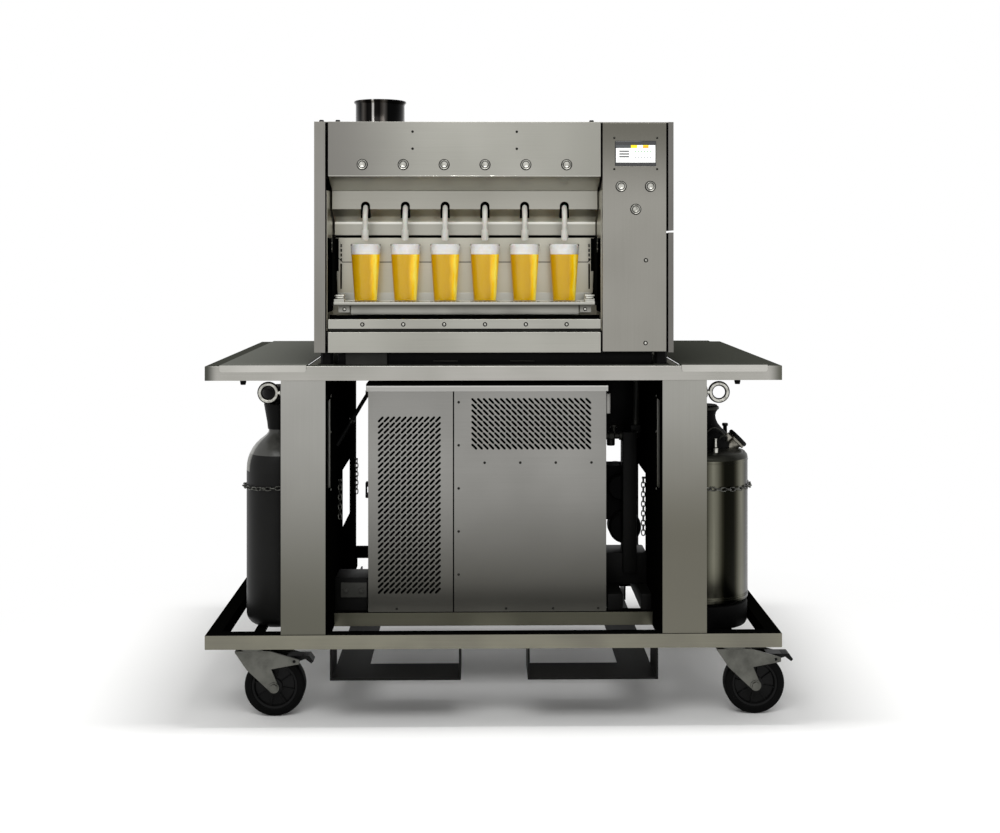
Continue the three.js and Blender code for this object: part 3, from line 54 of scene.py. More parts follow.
Point = Sequence[float]
Stops = Sequence[tuple[float, str]]

STAND = "stand"
RACK = "rack"
MM = 0.001
SHIFT_MM = -23
# Plan Y of the machine's front, X of the six taps, X of the legs' inner faces and the base beams' height.
FACE = -370
TAPS = [-322.5 + 100 * i for i in range(6)]
WALL = 409
BEAM_TOP = 224.2
# Plan X and Y of the axes of the round bodies.
BOTTLE = (-556, -180)
KEG = (552, -180)
COLLAR = (-291.6, -207)
QUARTER = math.pi / 2
# Edges flatter than this look smooth.
SHARP = math.radians(40)
# Points nearer than this are made one: in a shape's millimetres, and in a CAD node's metres.
TOUCH_MM = 1e-3
WELD_M = 0.00002
# How far a face looks to the front where the sideways colour, a painted reflection, is full, and where it has gone.
SIDEWAYS_LIMITS = (0.72, 0.985)
# How much a look upwards counts as a look inwards for painted shade, and how wide the change between the two is.
UPWARD_SHARE = 0.25
INWARD_WIDTH = 0.03
# Height of the fine grain in metres, its share of the colour, and the values from the shade to the full colour.
GRAIN_HEIGHT_M = 0.0004
GRAIN_SHARE = 0.25
DRIFT_LIMITS = (0.385, 0.745)
# How far the painted reflection bands swing the colour of a drawn wall, and how little its drift changes upwards.
BAND_SWING = 0.4
WALL_SCALE = (1, 1, 0.08)
# A clear body's bubbles: their share of the colour, and the values from the deep colour to the full one.
BUBBLE_SHARE = 0.2
DEPTH_LIMITS = (0.08, 0.85)
# The slow swirl in beer: its repeats in a metre, its stretch upwards and its share of the colour.
SWIRL_REPEATS = 90
SWIRL_SCALE = (1, 1, 0.25)
SWIRL_SHARE = 0.12
# Share of light that a soft body takes in and sends out again.
SOFT_SHARE = 0.12


class Axis(Enum):
    """An axis of the row, as a turn from Z to it."""

    X = "X"
    Y = "Y"
    Z = "Z"

    def matrix(self) -> Matrix:
        """Lays a shape that was made along Z along this axis.

        Returns:
            The turn.
        """
        if self is Axis.X:
            return Matrix.Rotation(QUARTER, 4, "Y")
        if self is Axis.Y:
            return Matrix.Rotation(-QUARTER, 4, "X")
        return Matrix.Identity(4)


def at(x: float, y: float, z: float) -> Vector:
    """A plan place in millimetres as a place in the row, in metres.

    Args:
        x: Right of the counter's middle.
        y: Away from the user.
        z: Above the floor.

    Returns:
        The same place in the row's metres.
    """
    return Vector(((x + SHIFT_MM) / 1000, y / 1000, z / 1000))


def linear(code: str) -> tuple[float, float, float, float]:
    """An sRGB hex colour as Blender's linear RGBA.

    Args:
        code: Six hex digits after a hash sign.

    Returns:
        Red, green, blue and alpha, linear.
    """
    parts = [int(code[i : i + 2], 16) / 255 for i in (1, 3, 5)]
    red, green, blue = [c / 12.92 if c <= 0.04045 else ((c + 0.055) / 1.055) ** 2.4 for c in parts]
    return (red, green, blue, 1.0)


def add_node(
    tree: NodeTree, kind: str, settings: Optional[dict] = None, links: Optional[dict] = None, **values: object
) -> Node:
    """Adds a node with its settings, socket values and incoming links.

    Args:
        tree: The node tree.
        kind: The node's type name.
        settings: Attributes of the node.
        links: Socket name or number to the output that feeds it.
        **values: Socket name, with _ for a space, to its value.

    Returns:
        The new node.
    """
    node = tree.nodes.new(kind)
    for key, value in (settings or {}).items():
        setattr(node, key, value)
    for key, value in values.items():
        node.inputs[key.replace("_", " ")].default_value = value
    for key, source in (links or {}).items():
        tree.links.new(source, node.inputs[key])
    return node


def maths(tree: NodeTree, operation: str, *terms: float | NodeSocket) -> NodeSocket:
    """Adds one step of arithmetic.

    Args:
        tree: The node tree.
        operation: What the node does.
        *terms: A number or a socket for each input.

    Returns:
        Its result.
    """
    node = add_node(tree, "ShaderNodeMath", {"operation": operation})
    for place, term in zip(node.inputs, terms):
        if isinstance(term, NodeSocket):
            tree.links.new(term, place)
        else:
            place.default_value = term
    return node.outputs["Value"]


def own_place(tree: NodeTree, kind: str = "Object") -> NodeSocket:
    """The object's own coordinates, or its normals where the kind is Normal."""
    return add_node(tree, "ShaderNodeTexCoord").outputs[kind]


def mapped(tree: NodeTree, place: NodeSocket, **values: Point) -> NodeSocket:
    """Coordinates moved by a Location or stretched by a Scale."""
    return add_node(tree, "ShaderNodeMapping", links={"Vector": place}, **values).outputs["Vector"]


def axes_of(tree: NodeTree, place: NodeSocket) -> bpy.types.bpy_prop_collection:
    """The X, Y and Z outputs of a vector."""
    return add_node(tree, "ShaderNodeSeparateXYZ", links={"Vector": place}).outputs


def noise(tree: NodeTree, place: NodeSocket, scale: float, detail: float) -> NodeSocket:
    """A cloudy pattern from 0 to 1, with so many repeats in a metre and so many octaves."""
    made = add_node(tree, "ShaderNodeTexNoise", links={"Vector": place}, Scale=scale, Detail=detail)
    return made.outputs["Fac"]


def step(tree: NodeTree, value: NodeSocket, low: float, high: float, falls: bool = False) -> NodeSocket:
    """A smooth step between two values.

    Args:
        tree: The node tree.
        value: What it follows.
        low: Where it starts.
        high: Where it ends.
        falls: True where it goes from 1 to 0.

    Returns:
        The step's height.
    """
    ends = {"To_Min": 1.0, "To_Max": 0.0} if falls else {}
    settings = {"interpolation_type": "SMOOTHSTEP"}
    made = add_node(tree, "ShaderNodeMapRange", settings, {"Value": value}, From_Min=low, From_Max=high, **ends)
    return made.outputs["Result"]


def ramp(tree: NodeTree, source: NodeSocket, stops: Stops) -> NodeSocket:
    """Adds a colour ramp between sRGB stops.

    Args:
        tree: The node tree.
        source: The factor that drives it.
        stops: Positions and hex colours, in order.

    Returns:
        The ramp's colour output.
    """
    node = add_node(tree, "ShaderNodeValToRGB", links={"Fac": source})
    while len(node.color_ramp.elements) < len(stops):
        node.color_ramp.elements.new(0.5)
    for element, (position, code) in zip(node.color_ramp.elements, stops):
        element.position = position
        element.color = linear(code)
    return node.outputs["Color"]


@dataclass(frozen=True)
class Fade:
    """A slow change of colour along one axis of the part, mostly painted light and shade.

    Attributes:
        axis: The axis that it follows.
        start_mm: Plan place where its own colour is full.
        end_mm: Plan place where it has gone.
        colour: Its own colour.
        dull: True where bare metal turns matt and loses its shine.
    """

    axis: Axis
    start_mm: float
    end_mm: float
    colour: str
    dull: bool = False

    def share(self, tree: NodeTree) -> NodeSocket:
        """Gives how far the change has come at a place.

        Args:
            tree: The material's nodes.

        Returns:
            The share, from 0 to 1.
        """
        shift = SHIFT_MM if self.axis is Axis.X else 0
        low, high = [(end + shift) / 1000 for end in sorted((self.start_mm, self.end_mm))]
        along = axes_of(tree, own_place(tree))[self.axis.value]
        return step(tree, along, low, high, falls=self.start_mm < self.end_mm)


class Facing(Enum):
    """Which faces of a piece a second colour covers."""

    INWARD = "inwards or up"
    SIDEWAYS = "neither to the front nor to the back"


@dataclass(frozen=True)
class Turned:
    """Another colour on the faces that are turned another way: painted shade and painted reflection.

    Attributes:
        facing: Which faces it covers.
        colour: Its own colour.
        dull: True where bare metal turns matt and loses its shine.
    """

    facing: Facing
    colour: str
    dull: bool = True

    def share(self, tree: NodeTree) -> NodeSocket:
        """Gives how much a face is turned that way.

        Args:
            tree: The material's nodes.

        Returns:
            The share, from 0 to 1.
        """
        normal = own_place(tree, "Normal")
        if self.facing is Facing.SIDEWAYS:
            return step(tree, maths(tree, "ABSOLUTE", axes_of(tree, normal)["Y"]), *SIDEWAYS_LIMITS, falls=True)
        flat = add_node(tree, "ShaderNodeVectorMath", {"operation": "MULTIPLY_ADD"}, {0: own_place(tree)})
        flat.inputs[1].default_value = (1.0, 1.0, 0.0)
        flat.inputs[2].default_value = (0.0, 0.0, -UPWARD_SHARE)
        links = {0: normal, 1: flat.outputs["Vector"]}
        outward = add_node(tree, "ShaderNodeVectorMath", {"operation": "DOT_PRODUCT"}, links)
        return step(tree, outward.outputs["Value"], -INWARD_WIDTH, INWARD_WIDTH, falls=True)


@dataclass(frozen=True)
class Finish:
    """How a surface was made, and what that gives the eye.

    Attributes:
        label: The material's name.
        colour: Its own colour.
        shade: The darker colour that its pattern drifts to.
        metallic: 1 for bare metal.
        roughness: Spread of its reflections.
        drift_mm: Size of the slow drift in colour.
        grain_mm: Size of the fine pattern along X, Y and Z.
        grain_depth: How strongly the fine pattern shows in the surface.
        spread: How much the roughness wanders.
        coat: Strength of a clear coat.
        gloss: Share of light that a bare surface throws back.
        changes: Other colours that it turns to, most of them painted light and shade.
    """

    label: str
    colour: str
    shade: str
    metallic: float = 0.0
    roughness: float = 0.5
    drift_mm: float = 160
    grain_mm: tuple[float, float, float] = (1.5, 1.5, 1.5)
    grain_depth: float = 0.05
    spread: float = 0.08
    coat: float = 0.0
    gloss: float = 0.5
    changes: tuple[Fade | Turned, ...] = ()

    def build(self) -> bpy.types.Material:
        """Makes the material, or finds it when it was made before.

        Returns:
            The material.
        """
        found = bpy.data.materials.get(self.label)
        if found:
            return found
        made = bpy.data.materials.new(self.label)
        made.use_nodes = True
        made.node_tree.nodes.clear()
        self.shade_surface(made.node_tree, own_place(made.node_tree))
        return made

    def shader(self, tree: NodeTree, grain: NodeSocket, links: dict, **values: float) -> Node:
        """Adds the shader with the fine grain in its surface.

        Args:
            tree: The material's nodes.
            grain: Height of the fine grain.
            links: Sockets of the shader to what feeds them.
            **values: Its numbers.

        Returns:
            The shader node.
        """
        relief = {"Strength": self.grain_depth, "Distance": GRAIN_HEIGHT_M}
        bump = add_node(tree, "ShaderNodeBump", links={"Height": grain}, **relief)
        links = links | {"Normal": bump.outputs["Normal"]}
        made = add_node(tree, "ShaderNodeBsdfPrincipled", links=links, **values)
        add_node(tree, "ShaderNodeOutputMaterial", links={"Surface": made.outputs["BSDF"]})
        return made

    def shade_surface(self, tree: NodeTree, place: NodeSocket) -> Node:
        """Builds the slow drift, the fine grain and the shader.

        Args:
            tree: The material's nodes.
            place: Object coordinates.

        Returns:
            The shader node.
        """
        drift = noise(tree, place, 1000 / self.drift_mm, 2)
        grain = noise(tree, mapped(tree, place, Scale=tuple(1000 / size for size in self.grain_mm)), 1, 3)
        both = maths(tree, "MULTIPLY_ADD", grain, GRAIN_SHARE, drift)
        colour = ramp(tree, both, list(zip(DRIFT_LIMITS, (self.shade, self.colour))))
        ends = {"To_Min": max(self.roughness - self.spread, 0.02), "To_Max": min(self.roughness + self.spread, 1.0)}
        roughness = add_node(tree, "ShaderNodeMapRange", links={"Value": grain}, **ends).outputs["Result"]
        bare = None
        for change in self.changes:
            share = change.share(tree)
            mixed = add_node(tree, "ShaderNodeMix", {"data_type": "RGBA"}, {0: share, 6: colour})
            mixed.inputs[7].default_value = linear(change.colour)
            colour = mixed.outputs[2]
            if change.dull:
                left = maths(tree, "SUBTRACT", 1.0, share)
                bare = maths(tree, "MULTIPLY", bare, left) if bare else left
                roughness = maths(tree, "MAXIMUM", share, roughness)
        links = {"Base Color": colour, "Roughness": roughness}
        if bare and self.metallic:
            links["Metallic"] = bare
        values = {"Metallic": self.metallic, "Coat_Weight": self.coat, "Specular_IOR_Level": self.gloss}
        return self.shader(tree, grain, links, **values)


@dataclass(frozen=True)
class PaintedBandsFinish(Finish):
    """A drawn metal wall with upright bands of painted reflection round an axis.

    Attributes:
        centre: Plan X and Y of the axis.
        bands: How many bright bands of painted reflection go round it.
        turn_deg: Where the first one stands, from the front towards +X.
        wander: How much the bands drift in strength.
        stops: Colours from between the bands to their middles.
    """

    centre: tuple[float, float] = (0, 0)
    bands: int = 2
    turn_deg: float = 0
    wander: float = 0
    stops: Stops = ()

    def shade_surface(self, tree: NodeTree, place: NodeSocket) -> Node:
        """Builds the base surface and lays the bands over its colour.

        Args:
            tree: The material's nodes.
            place: Object coordinates.

        Returns:
            The shader node.
        """
        shader = super().shade_surface(tree, place)
        x, y = at(*self.centre, 0).xy
        axes = axes_of(tree, mapped(tree, place, Location=(-x, -y, 0)))
        angle = maths(tree, "ARCTAN2", axes["Y"], axes["X"])
        start = self.bands * math.radians(90 - self.turn_deg)
        wave = maths(tree, "COSINE", maths(tree, "MULTIPLY_ADD", angle, self.bands, start))
        slow = noise(tree, mapped(tree, place, Scale=WALL_SCALE), 1000 / self.drift_mm, 3)
        level = maths(tree, "MULTIPLY_ADD", slow, self.wander, 0.5 - 0.5 * self.wander)
        both = maths(tree, "MULTIPLY_ADD", wave, BAND_SWING, level)
        tree.links.new(ramp(tree, both, self.stops), shader.inputs["Base Color"])
        return shader


@dataclass(frozen=True)
class ClearFinish(Finish):
    """A see-through body, such as cup plastic or beer.

    Attributes:
        see_through: Share of light that passes.
        bend: Index of refraction.
        low_mm: Height where the lower colour is full.
        high_mm: Height where the upper colour is full.
    """

    see_through: float = 1.0
    bend: float = 1.3
    low_mm: float = 1027
    high_mm: float = 1146

    def shade_surface(self, tree: NodeTree, place: NodeSocket) -> Node:
        """Builds a body whose colour deepens towards its foot.

        Args:
            tree: The material's nodes.
            place: Object coordinates.

        Returns:
            The shader node.
        """
        ends = {"From_Min": self.low_mm / 1000, "From_Max": self.high_mm / 1000}
        height = axes_of(tree, place)["Z"]
        rise = add_node(tree, "ShaderNodeMapRange", links={"Value": height}, **ends).outputs["Result"]
        bubbles = noise(tree, place, 1000 / self.drift_mm, 2)
        both = maths(tree, "MULTIPLY_ADD", bubbles, BUBBLE_SHARE, rise)
        colour = ramp(tree, both, list(zip(DEPTH_LIMITS, (self.shade, self.colour))))
        values = {"Roughness": self.roughness, "IOR": self.bend, "Transmission_Weight": self.see_through}
        return self.shader(tree, bubbles, {"Base Color": colour}, **values)


@dataclass(frozen=True)
class BeerFinish(ClearFinish):
    """Beer in a row of cups, with a painted highlight down one side of each cup and a painted glow.

    Attributes:
        pitch_mm: Distance between cups.
        stops: Colours across half a pitch to either side of a cup's axis.
        painted_glow: Strength of a painted glow of its own, though the beer is no lamp.
    """

    pitch_mm: float = 100
    stops: Stops = ()
    painted_glow: float = 0.3

    def shade_surface(self, tree: NodeTree, place: NodeSocket) -> Node:
        """Builds the clear body and lays its painted highlight and painted glow over it.

        Args:
            tree: The material's nodes.
            place: Object coordinates.

        Returns:
            The shader node.
        """
        shader = super().shade_surface(tree, place)
        start = (TAPS[0] + SHIFT_MM - self.pitch_mm / 2) / 1000
        moved = mapped(tree, place, Location=(-start, 0, 0))
        across = maths(tree, "FRACT", maths(tree, "DIVIDE", axes_of(tree, moved)["X"], self.pitch_mm / 1000))
        swirl = noise(tree, mapped(tree, place, Scale=SWIRL_SCALE), SWIRL_REPEATS, 2)
        colour = ramp(tree, maths(tree, "MULTIPLY_ADD", swirl, SWIRL_SHARE, across), self.stops)
        for socket in ("Base Color", "Emission Color"):
            tree.links.new(colour, shader.inputs[socket])
        shader.inputs["Emission Strength"].default_value = self.painted_glow
        return shader


@dataclass(frozen=True)
class SoftFinish(Finish):
    """A body that light enters and leaves, such as foam or silicone.

    Attributes:
        glow_mm: How far light spreads under the surface.
    """

    glow_mm: float = 3

    def shade_surface(self, tree: NodeTree, place: NodeSocket) -> Node:
        """Builds the base surface with light spread under it.

        Args:
            tree: The material's nodes.
            place: Object coordinates.

        Returns:
            The shader node.
        """
        shader = super().shade_surface(tree, place)
        shader.inputs["Subsurface Weight"].default_value = SOFT_SHARE
        shader.inputs["Subsurface Scale"].default_value = self.glow_mm / 1000
        return shader


@dataclass(frozen=True)
class LitFinish(Finish):
    """A screen's lit area.

    Attributes:
        power: Strength of its own light.
    """

    power: float = 0.7

    def shade_surface(self, tree: NodeTree, place: NodeSocket) -> Node:
        """Builds the base surface with its own light.

        Args:
            tree: The material's nodes.
            place: Object coordinates.

        Returns:
            The shader node.
        """
        shader = super().shade_surface(tree, place)
        shader.inputs["Emission Color"].default_value = linear(self.colour)
        shader.inputs["Emission Strength"].default_value = self.power
        return shader


# What several finishes share. The real brushing is about 0.1 mm fine and is drawn 2 mm wide to show.
ACROSS = dict(metallic=1, roughness=0.33, drift_mm=260, grain_mm=(260, 2.2, 2.2), grain_depth=0.07, spread=0.05)
UPRIGHT = dict(metallic=1, roughness=0.33, drift_mm=260, grain_mm=(2.2, 2.2, 260), grain_depth=0.07, spread=0.05)
CASING = dict(metallic=1, roughness=0.36, drift_mm=220, grain_mm=(2.4, 2.4, 240), grain_depth=0.07, spread=0.06)
POST = dict(metallic=1, roughness=0.34, drift_mm=260, grain_mm=(2.2, 2.2, 260), grain_depth=0.07, spread=0.06)
BOARD = dict(metallic=1, roughness=0.32, drift_mm=140, grain_mm=(240, 2.5, 2.5), grain_depth=0.08, spread=0.06)
COOLER = dict(metallic=1, roughness=0.34, drift_mm=240, grain_mm=(260, 2.2, 2.2), grain_depth=0.06, spread=0.06)
ENAMEL = dict(roughness=0.42, drift_mm=90, grain_mm=(2.5, 2.5, 2.5), grain_depth=0.08, spread=0.06)
LIT = dict(roughness=0.2, drift_mm=60, grain_depth=0)
# Painted shade: near black on the faces that look inwards or up.
INNER_PAINTED_SHADE = Turned(Facing.INWARD, "#070706")

# Stainless sheet, brushed along X: a fine satin that draws highlights out upwards.
SHEET_ACROSS = Finish("stainless_brushed_across", "#aeada5", "#a09f97", **ACROSS)
# The head's front, with painted shade towards both ends, most at the left, and painted light at its underside's back.
HEAD_PAINTED_LIGHT_AND_SHADE = (
    Fade(Axis.X, -420, -120, "#807e79"),
    Fade(Axis.X, 265, 60, "#9b9a92"),
    Fade(Axis.Y, -330, -366, "#bfbeb6"),
)
SHEET_HEAD = Finish("stainless_brushed_head", "#acaba3", "#9f9e96", **ACROSS, changes=HEAD_PAINTED_LIGHT_AND_SHADE)
# The cover over the hoses, with a near-white band of painted highlight from 1220 to 1244.5 mm high.
COVER_PAINTED_HIGHLIGHT = (Fade(Axis.Z, 1238, 1244.5, "#edece4"), Fade(Axis.Z, 1220, 1225, "#acaaa0"))
SHEET_COVER = Finish("stainless_brushed_cover", "#a9a79e", "#9f9d94", **ACROSS, changes=COVER_PAINTED_HIGHLIGHT)
# The same sheet with its grain upright, as on the column, with painted shade towards the top.
COLUMN_PAINTED_SHADE = (Fade(Axis.Z, 1470, 1260, "#69675f"),)
SHEET_UPRIGHT = Finish("stainless_brushed_upright", "#98968f", "#8e8c85", **UPRIGHT, changes=COLUMN_PAINTED_SHADE)
# Side casing of the machine: brushed stiles in front and panels; the right side's darker copy is painted shade.
SHEET_CASING = Finish("stainless_casing", "#8f8d88", "#83817b", **CASING)
CASING_RIGHT_SHADED = Finish("stainless_casing_right_shaded", "#767470", "#6b6965", **CASING)
# Posts: bright at the top and darker towards the floor, and near black inside the fold, all painted shade.
POST_PAINTED_SHADE = (Fade(Axis.Z, 224, 820, "#5f5e55"), INNER_PAINTED_SHADE)
POST_STEEL = Finish("stainless_post", "#a9a8a3", "#9d9c97", **POST, gloss=0, changes=POST_PAINTED_SHADE)
# The right post: a darker copy with more painted shade.
RIGHT_POST_PAINTED_SHADE = (Fade(Axis.Z, 440, 850, "#6b695f"), INNER_PAINTED_SHADE)
POST_RIGHT_SHADED = Finish("stainless_post_right_shaded", "#a3a29c", "#979690", **POST, gloss=0, changes=RIGHT_POST_PAINTED_SHADE)
# Thick boards: clean folds in front, and tops darker as painted shade, darkest on the right board.
BOARD_LEFT, BOARD_RIGHT = [
    Finish(f"stainless_board_{side}", "#c6c4be", "#b7b6af", **BOARD, gloss=0, changes=(Turned(Facing.INWARD, top),))
    for side, top in (("left", "#5b5c57"), ("right", "#393a35"))
]
# Square tube, brushed along its length, with painted shade at its ends and on its tops and inner faces.
TUBE_PAINTED_SHADE = (
    Fade(Axis.X, -696, -668, "#4d4e48"),
    Fade(Axis.X, 699, 664, "#5f5f56"),
    Turned(Facing.INWARD, "#383934"),
)
TUBE_STEEL = Finish(
    "stainless_tube", "#b2b0aa", "#a3a29b", metallic=1, roughness=0.3, drift_mm=200, grain_mm=(220, 2.4, 2.4),
    grain_depth=0.07, spread=0.05, gloss=0, changes=TUBE_PAINTED_SHADE,
)
# Painted filler strips beside the counter's rails: flat grey.
INFILL = Finish(
    "paint_grey_flat", "#6f6e67", "#64635c", roughness=0.8, drift_mm=120, grain_mm=(3, 3, 3), spread=0.05, gloss=0,
)
# The base frame, darker than the tube above and darker behind its front tube, and near black inside: all painted shade.
BASE_STEEL = Finish(
    "stainless_tube_low", "#7d7b6e", "#6b6960", metallic=1, roughness=0.34, drift_mm=180, grain_mm=(220, 2.4, 2.4),
    grain_depth=0.08, spread=0.07, gloss=0, changes=(Fade(Axis.Y, -222, -330, "#57564b"), INNER_PAINTED_SHADE),
)
# Rear parts of the cart: near black as painted shade at the back.
REAR_PAINTED_SHADE = Finish(
    "steel_rear_shade", "#121210", "#0a0a09", roughness=0.6, drift_mm=120, grain_mm=(3, 3, 120), grain_depth=0.1,
    spread=0.1, gloss=0,
)
# Turned and polished stainless: buttons, rings, eye bolts. Its sideways faces carry a painted dark reflection.
POLISHED = Finish(
    "stainless_polished", "#cfcec6", "#8b8a83", metallic=1, roughness=0.16, drift_mm=9, grain_mm=(1.2, 1.2, 1.2),
    grain_depth=0.08, spread=0.05, gloss=0, changes=(Turned(Facing.SIDEWAYS, "#151513"),),
)
# A bright folded edge: a painted highlight along the fascia's lower edge, and also the rack's pads.
BRIGHT_EDGE = Finish(
    "stainless_folded_edge", "#dddcd4", "#c9c8bf", metallic=1, roughness=0.3, drift_mm=120, grain_mm=(120, 2, 2),
    grain_depth=0.04, spread=0.05,
)
# Bead-blasted stainless niche back: pale and warm as painted light from the beer, darker low down as painted shade.
NICHE_STEEL = Finish(
    "stainless_satin_pale", "#c2bfb2", "#b1ae9f", metallic=1, roughness=0.36, drift_mm=220, grain_mm=(220, 2.2, 2.2),
    grain_depth=0.06, spread=0.05, changes=(Fade(Axis.Z, 1035, 1130, "#b3ae9d"),),
)
# The rack's folded sheet of thin satin stainless, with painted shade on its under-platform channel and dark side arms.
RACK_SHADE_AND_ARMS = (
    Fade(Axis.Z, 1018.5, 1000, "#56554f"),
    Fade(Axis.Z, 1023, 1019, "#b4b3ab"),
    Fade(Axis.X, -397.8, -397, "#0c0c0b", dull=True),
    Fade(Axis.X, 250.8, 250, "#0c0c0b", dull=True),
)
RACK_STEEL = Finish(
    "stainless_rack", "#b4b3ab", "#9a9992", metallic=1, roughness=0.34, drift_mm=90, grain_mm=(120, 2, 2),
    grain_depth=0.06, spread=0.06, gloss=0, changes=RACK_SHADE_AND_ARMS,
)
# Darkened steel: arms, pins and small screws.
DARK_STEEL = Finish(
    "stainless_darkened", "#33332f", "#20201e", metallic=0.6, roughness=0.4, drift_mm=90, grain_mm=(120, 2, 2),
    grain_depth=0.1, gloss=0.1,
)
# Polished dark collar on the roof, with painted upright reflections.
COLLAR_PAINTED_REFLECTIONS = (
    (0.4, "#0a0a0a"), (0.58, "#4a4744"), (0.68, "#35322f"), (0.78, "#0d0c0c"), (0.893, "#161514"),
    (0.8972, "#5b5956"), (0.8992, "#cfcdc9"),
)
COLLAR_STEEL = PaintedBandsFinish(
    "collar_dark_polished", "#1f1f1e", "#0d0d0d", metallic=1, roughness=0.2, drift_mm=38, grain_mm=(40, 40, 1.6),
    grain_depth=0.04, spread=0.04, centre=COLLAR, bands=3, turn_deg=-12.5, stops=COLLAR_PAINTED_REFLECTIONS,
)
# Satin black powder coat with its fine orange peel.
POWDER_BLACK = Finish(
    "powder_coat_black", "#0f0f0e", "#080807", drift_mm=70, grain_mm=(1.6, 1.6, 1.6), grain_depth=0.12, gloss=0.1,
)
# Zinc plate on pressed steel, with its cloudy spangle.
ZINC = Finish(
    "zinc_plate", "#61615c", "#474743", metallic=1, roughness=0.36, drift_mm=48, grain_mm=(6, 6, 6), grain_depth=0.1,
    spread=0.12,
)
# Wheel tread: solid black rubber, dull with a mould bloom.
RUBBER = Finish(
    "rubber_black", "#080808", "#030303", roughness=0.6, drift_mm=30, grain_mm=(1.8, 1.8, 1.8), grain_depth=0.2,
    spread=0.1, gloss=0.06,
)
# Moulded black nylon: wheel centres, pedals, caps.
NYLON = Finish("nylon_black", "#0c0c0c", "#060606", roughness=0.42, drift_mm=40, grain_depth=0.1, gloss=0.12)
# Stove enamel on the gas bottle, black with a grey shoulder, and a painted highlight on shoulder and dome.
BOTTLE_ENAMEL = Finish("enamel_black", "#171716", "#0f0f0e", **ENAMEL, gloss=0.15)
PAINTED_GLINT = dict(centre=BOTTLE, bands=2, turn_deg=-68, wander=0.05)
SHOULDER_ENAMEL = PaintedBandsFinish(
    "enamel_grey", "#5a5a55", "#4a4a46", roughness=0.3, drift_mm=80, grain_mm=(2.5, 2.5, 2.5), grain_depth=0.08,
    spread=0.06, gloss=0.4, **PAINTED_GLINT, stops=((0.2, "#52524e"), (0.84, "#52524e"), (0.885, "#b5b5b0")),
)
DOME_ENAMEL = PaintedBandsFinish(
    "enamel_black_dome", "#171716", "#0f0f0e", **ENAMEL, gloss=0.15, **PAINTED_GLINT,
    stops=((0.2, "#171716"), (0.84, "#171716"), (0.885, "#a8a8a3")),
)
# Drawn and polished keg wall: painted reflections run up it in bands, and it looks dark between them.
KEG_STEEL = PaintedBandsFinish(
    "keg_drawn", "#85847a", "#14140f", metallic=1, roughness=0.3, drift_mm=46, grain_mm=(60, 60, 2.2), spread=0.06,
    centre=KEG, bands=8, turn_deg=1, wander=0.25,
    stops=((0.28, "#11110c"), (0.46, "#2a2920"), (0.66, "#4a493f"), (0.86, "#69685c"), (0.97, "#908f80")),
)
# Its dome: the same steel, darkened as painted shade under the counter.
KEG_DOME_SHADED = Finish(
    "keg_dome_shaded", "#33332d", "#161612", metallic=0.7, roughness=0.4, drift_mm=60, grain_mm=(3, 3, 3),
    grain_depth=0.08, spread=0.06, gloss=0.1,
)
# Cooler sheet: brushed across, with painted shade towards the floor and inside the grilles' black slots.
COOLER_PAINTED_SHADE = (Fade(Axis.Z, 230, 660, "#53524d"),)
COOLER_STEEL = Finish("cooler_brushed", "#979692", "#8b8a86", **COOLER, changes=COOLER_PAINTED_SHADE)
GRILLE_PAINTED_SHADE = COOLER_PAINTED_SHADE + (Fade(Axis.Y, -213.4, -213.95, "#050505", dull=True),)
GRILLE_STEEL = Finish("cooler_grille_brushed", "#979692", "#8b8a86", **COOLER, changes=GRILLE_PAINTED_SHADE)
# Its lid: paler as painted light, with a painted highlight on its lower edge and painted shade on its top.
LID_PAINTED_LIGHT = (Fade(Axis.Z, 806.6, 802.5, "#d9d8d4"), Fade(Axis.Z, 807.8, 807, "#1c1c1a", dull=True))
LID_STEEL_LIT = Finish("cooler_lid_brushed", "#b6b5b1", "#abaaa6", **COOLER, gloss=0, changes=LID_PAINTED_LIGHT)
# Chain and hooks in galvanised wire, gone dark.
CHAIN_ZINC = Finish(
    "chain_galvanised", "#6b6b66", "#1c1c1a", metallic=0.8, roughness=0.36, drift_mm=9, grain_mm=(4, 4, 4),
    grain_depth=0.1, spread=0.1, gloss=0.1,
)
# Rubber hose, matt with a fine cloth mark.
HOSE_BLACK = Finish(
    "hose_black", "#131313", "#0a0a0a", roughness=0.55, drift_mm=40, grain_mm=(2, 2, 2), grain_depth=0.25, gloss=0.1,
)
HOSE_GREY = Finish("hose_grey", "#2c2c29", "#1d1d1b", drift_mm=40, grain_mm=(2, 2, 2), grain_depth=0.2, gloss=0.15)
# Grey plastic of the small control boxes: matt and faintly rough.
BOX_GREY = Finish(
    "box_grey_plastic", "#484844", "#3b3b38", drift_mm=60, grain_mm=(1.6, 1.6, 1.6), grain_depth=0.1, gloss=0.2,
)
# Nickel-plated brass fittings: a warm, slightly dulled shine.
FITTING = Finish(
    "brass_nickel_plated", "#8f8c83", "#4b4840", metallic=1, roughness=0.3, drift_mm=12, grain_mm=(2, 2, 2),
    grain_depth=0.06, spread=0.06,
)
# Food silicone spouts: milky, light spreads in them.
SILICONE = SoftFinish(
    "silicone_milky", "#f2f0e8", "#dcdacf", roughness=0.38, drift_mm=40, grain_mm=(2, 2, 2), grain_depth=0.06,
    spread=0.06, glow_mm=4,
)
# Foam: packed fine bubbles.
FOAM = SoftFinish(
    "beer_foam", "#ffffff", "#faf7ee", roughness=0.75, drift_mm=12, grain_mm=(2.4, 2.4, 2.4), grain_depth=0.4,
    glow_mm=5,
)
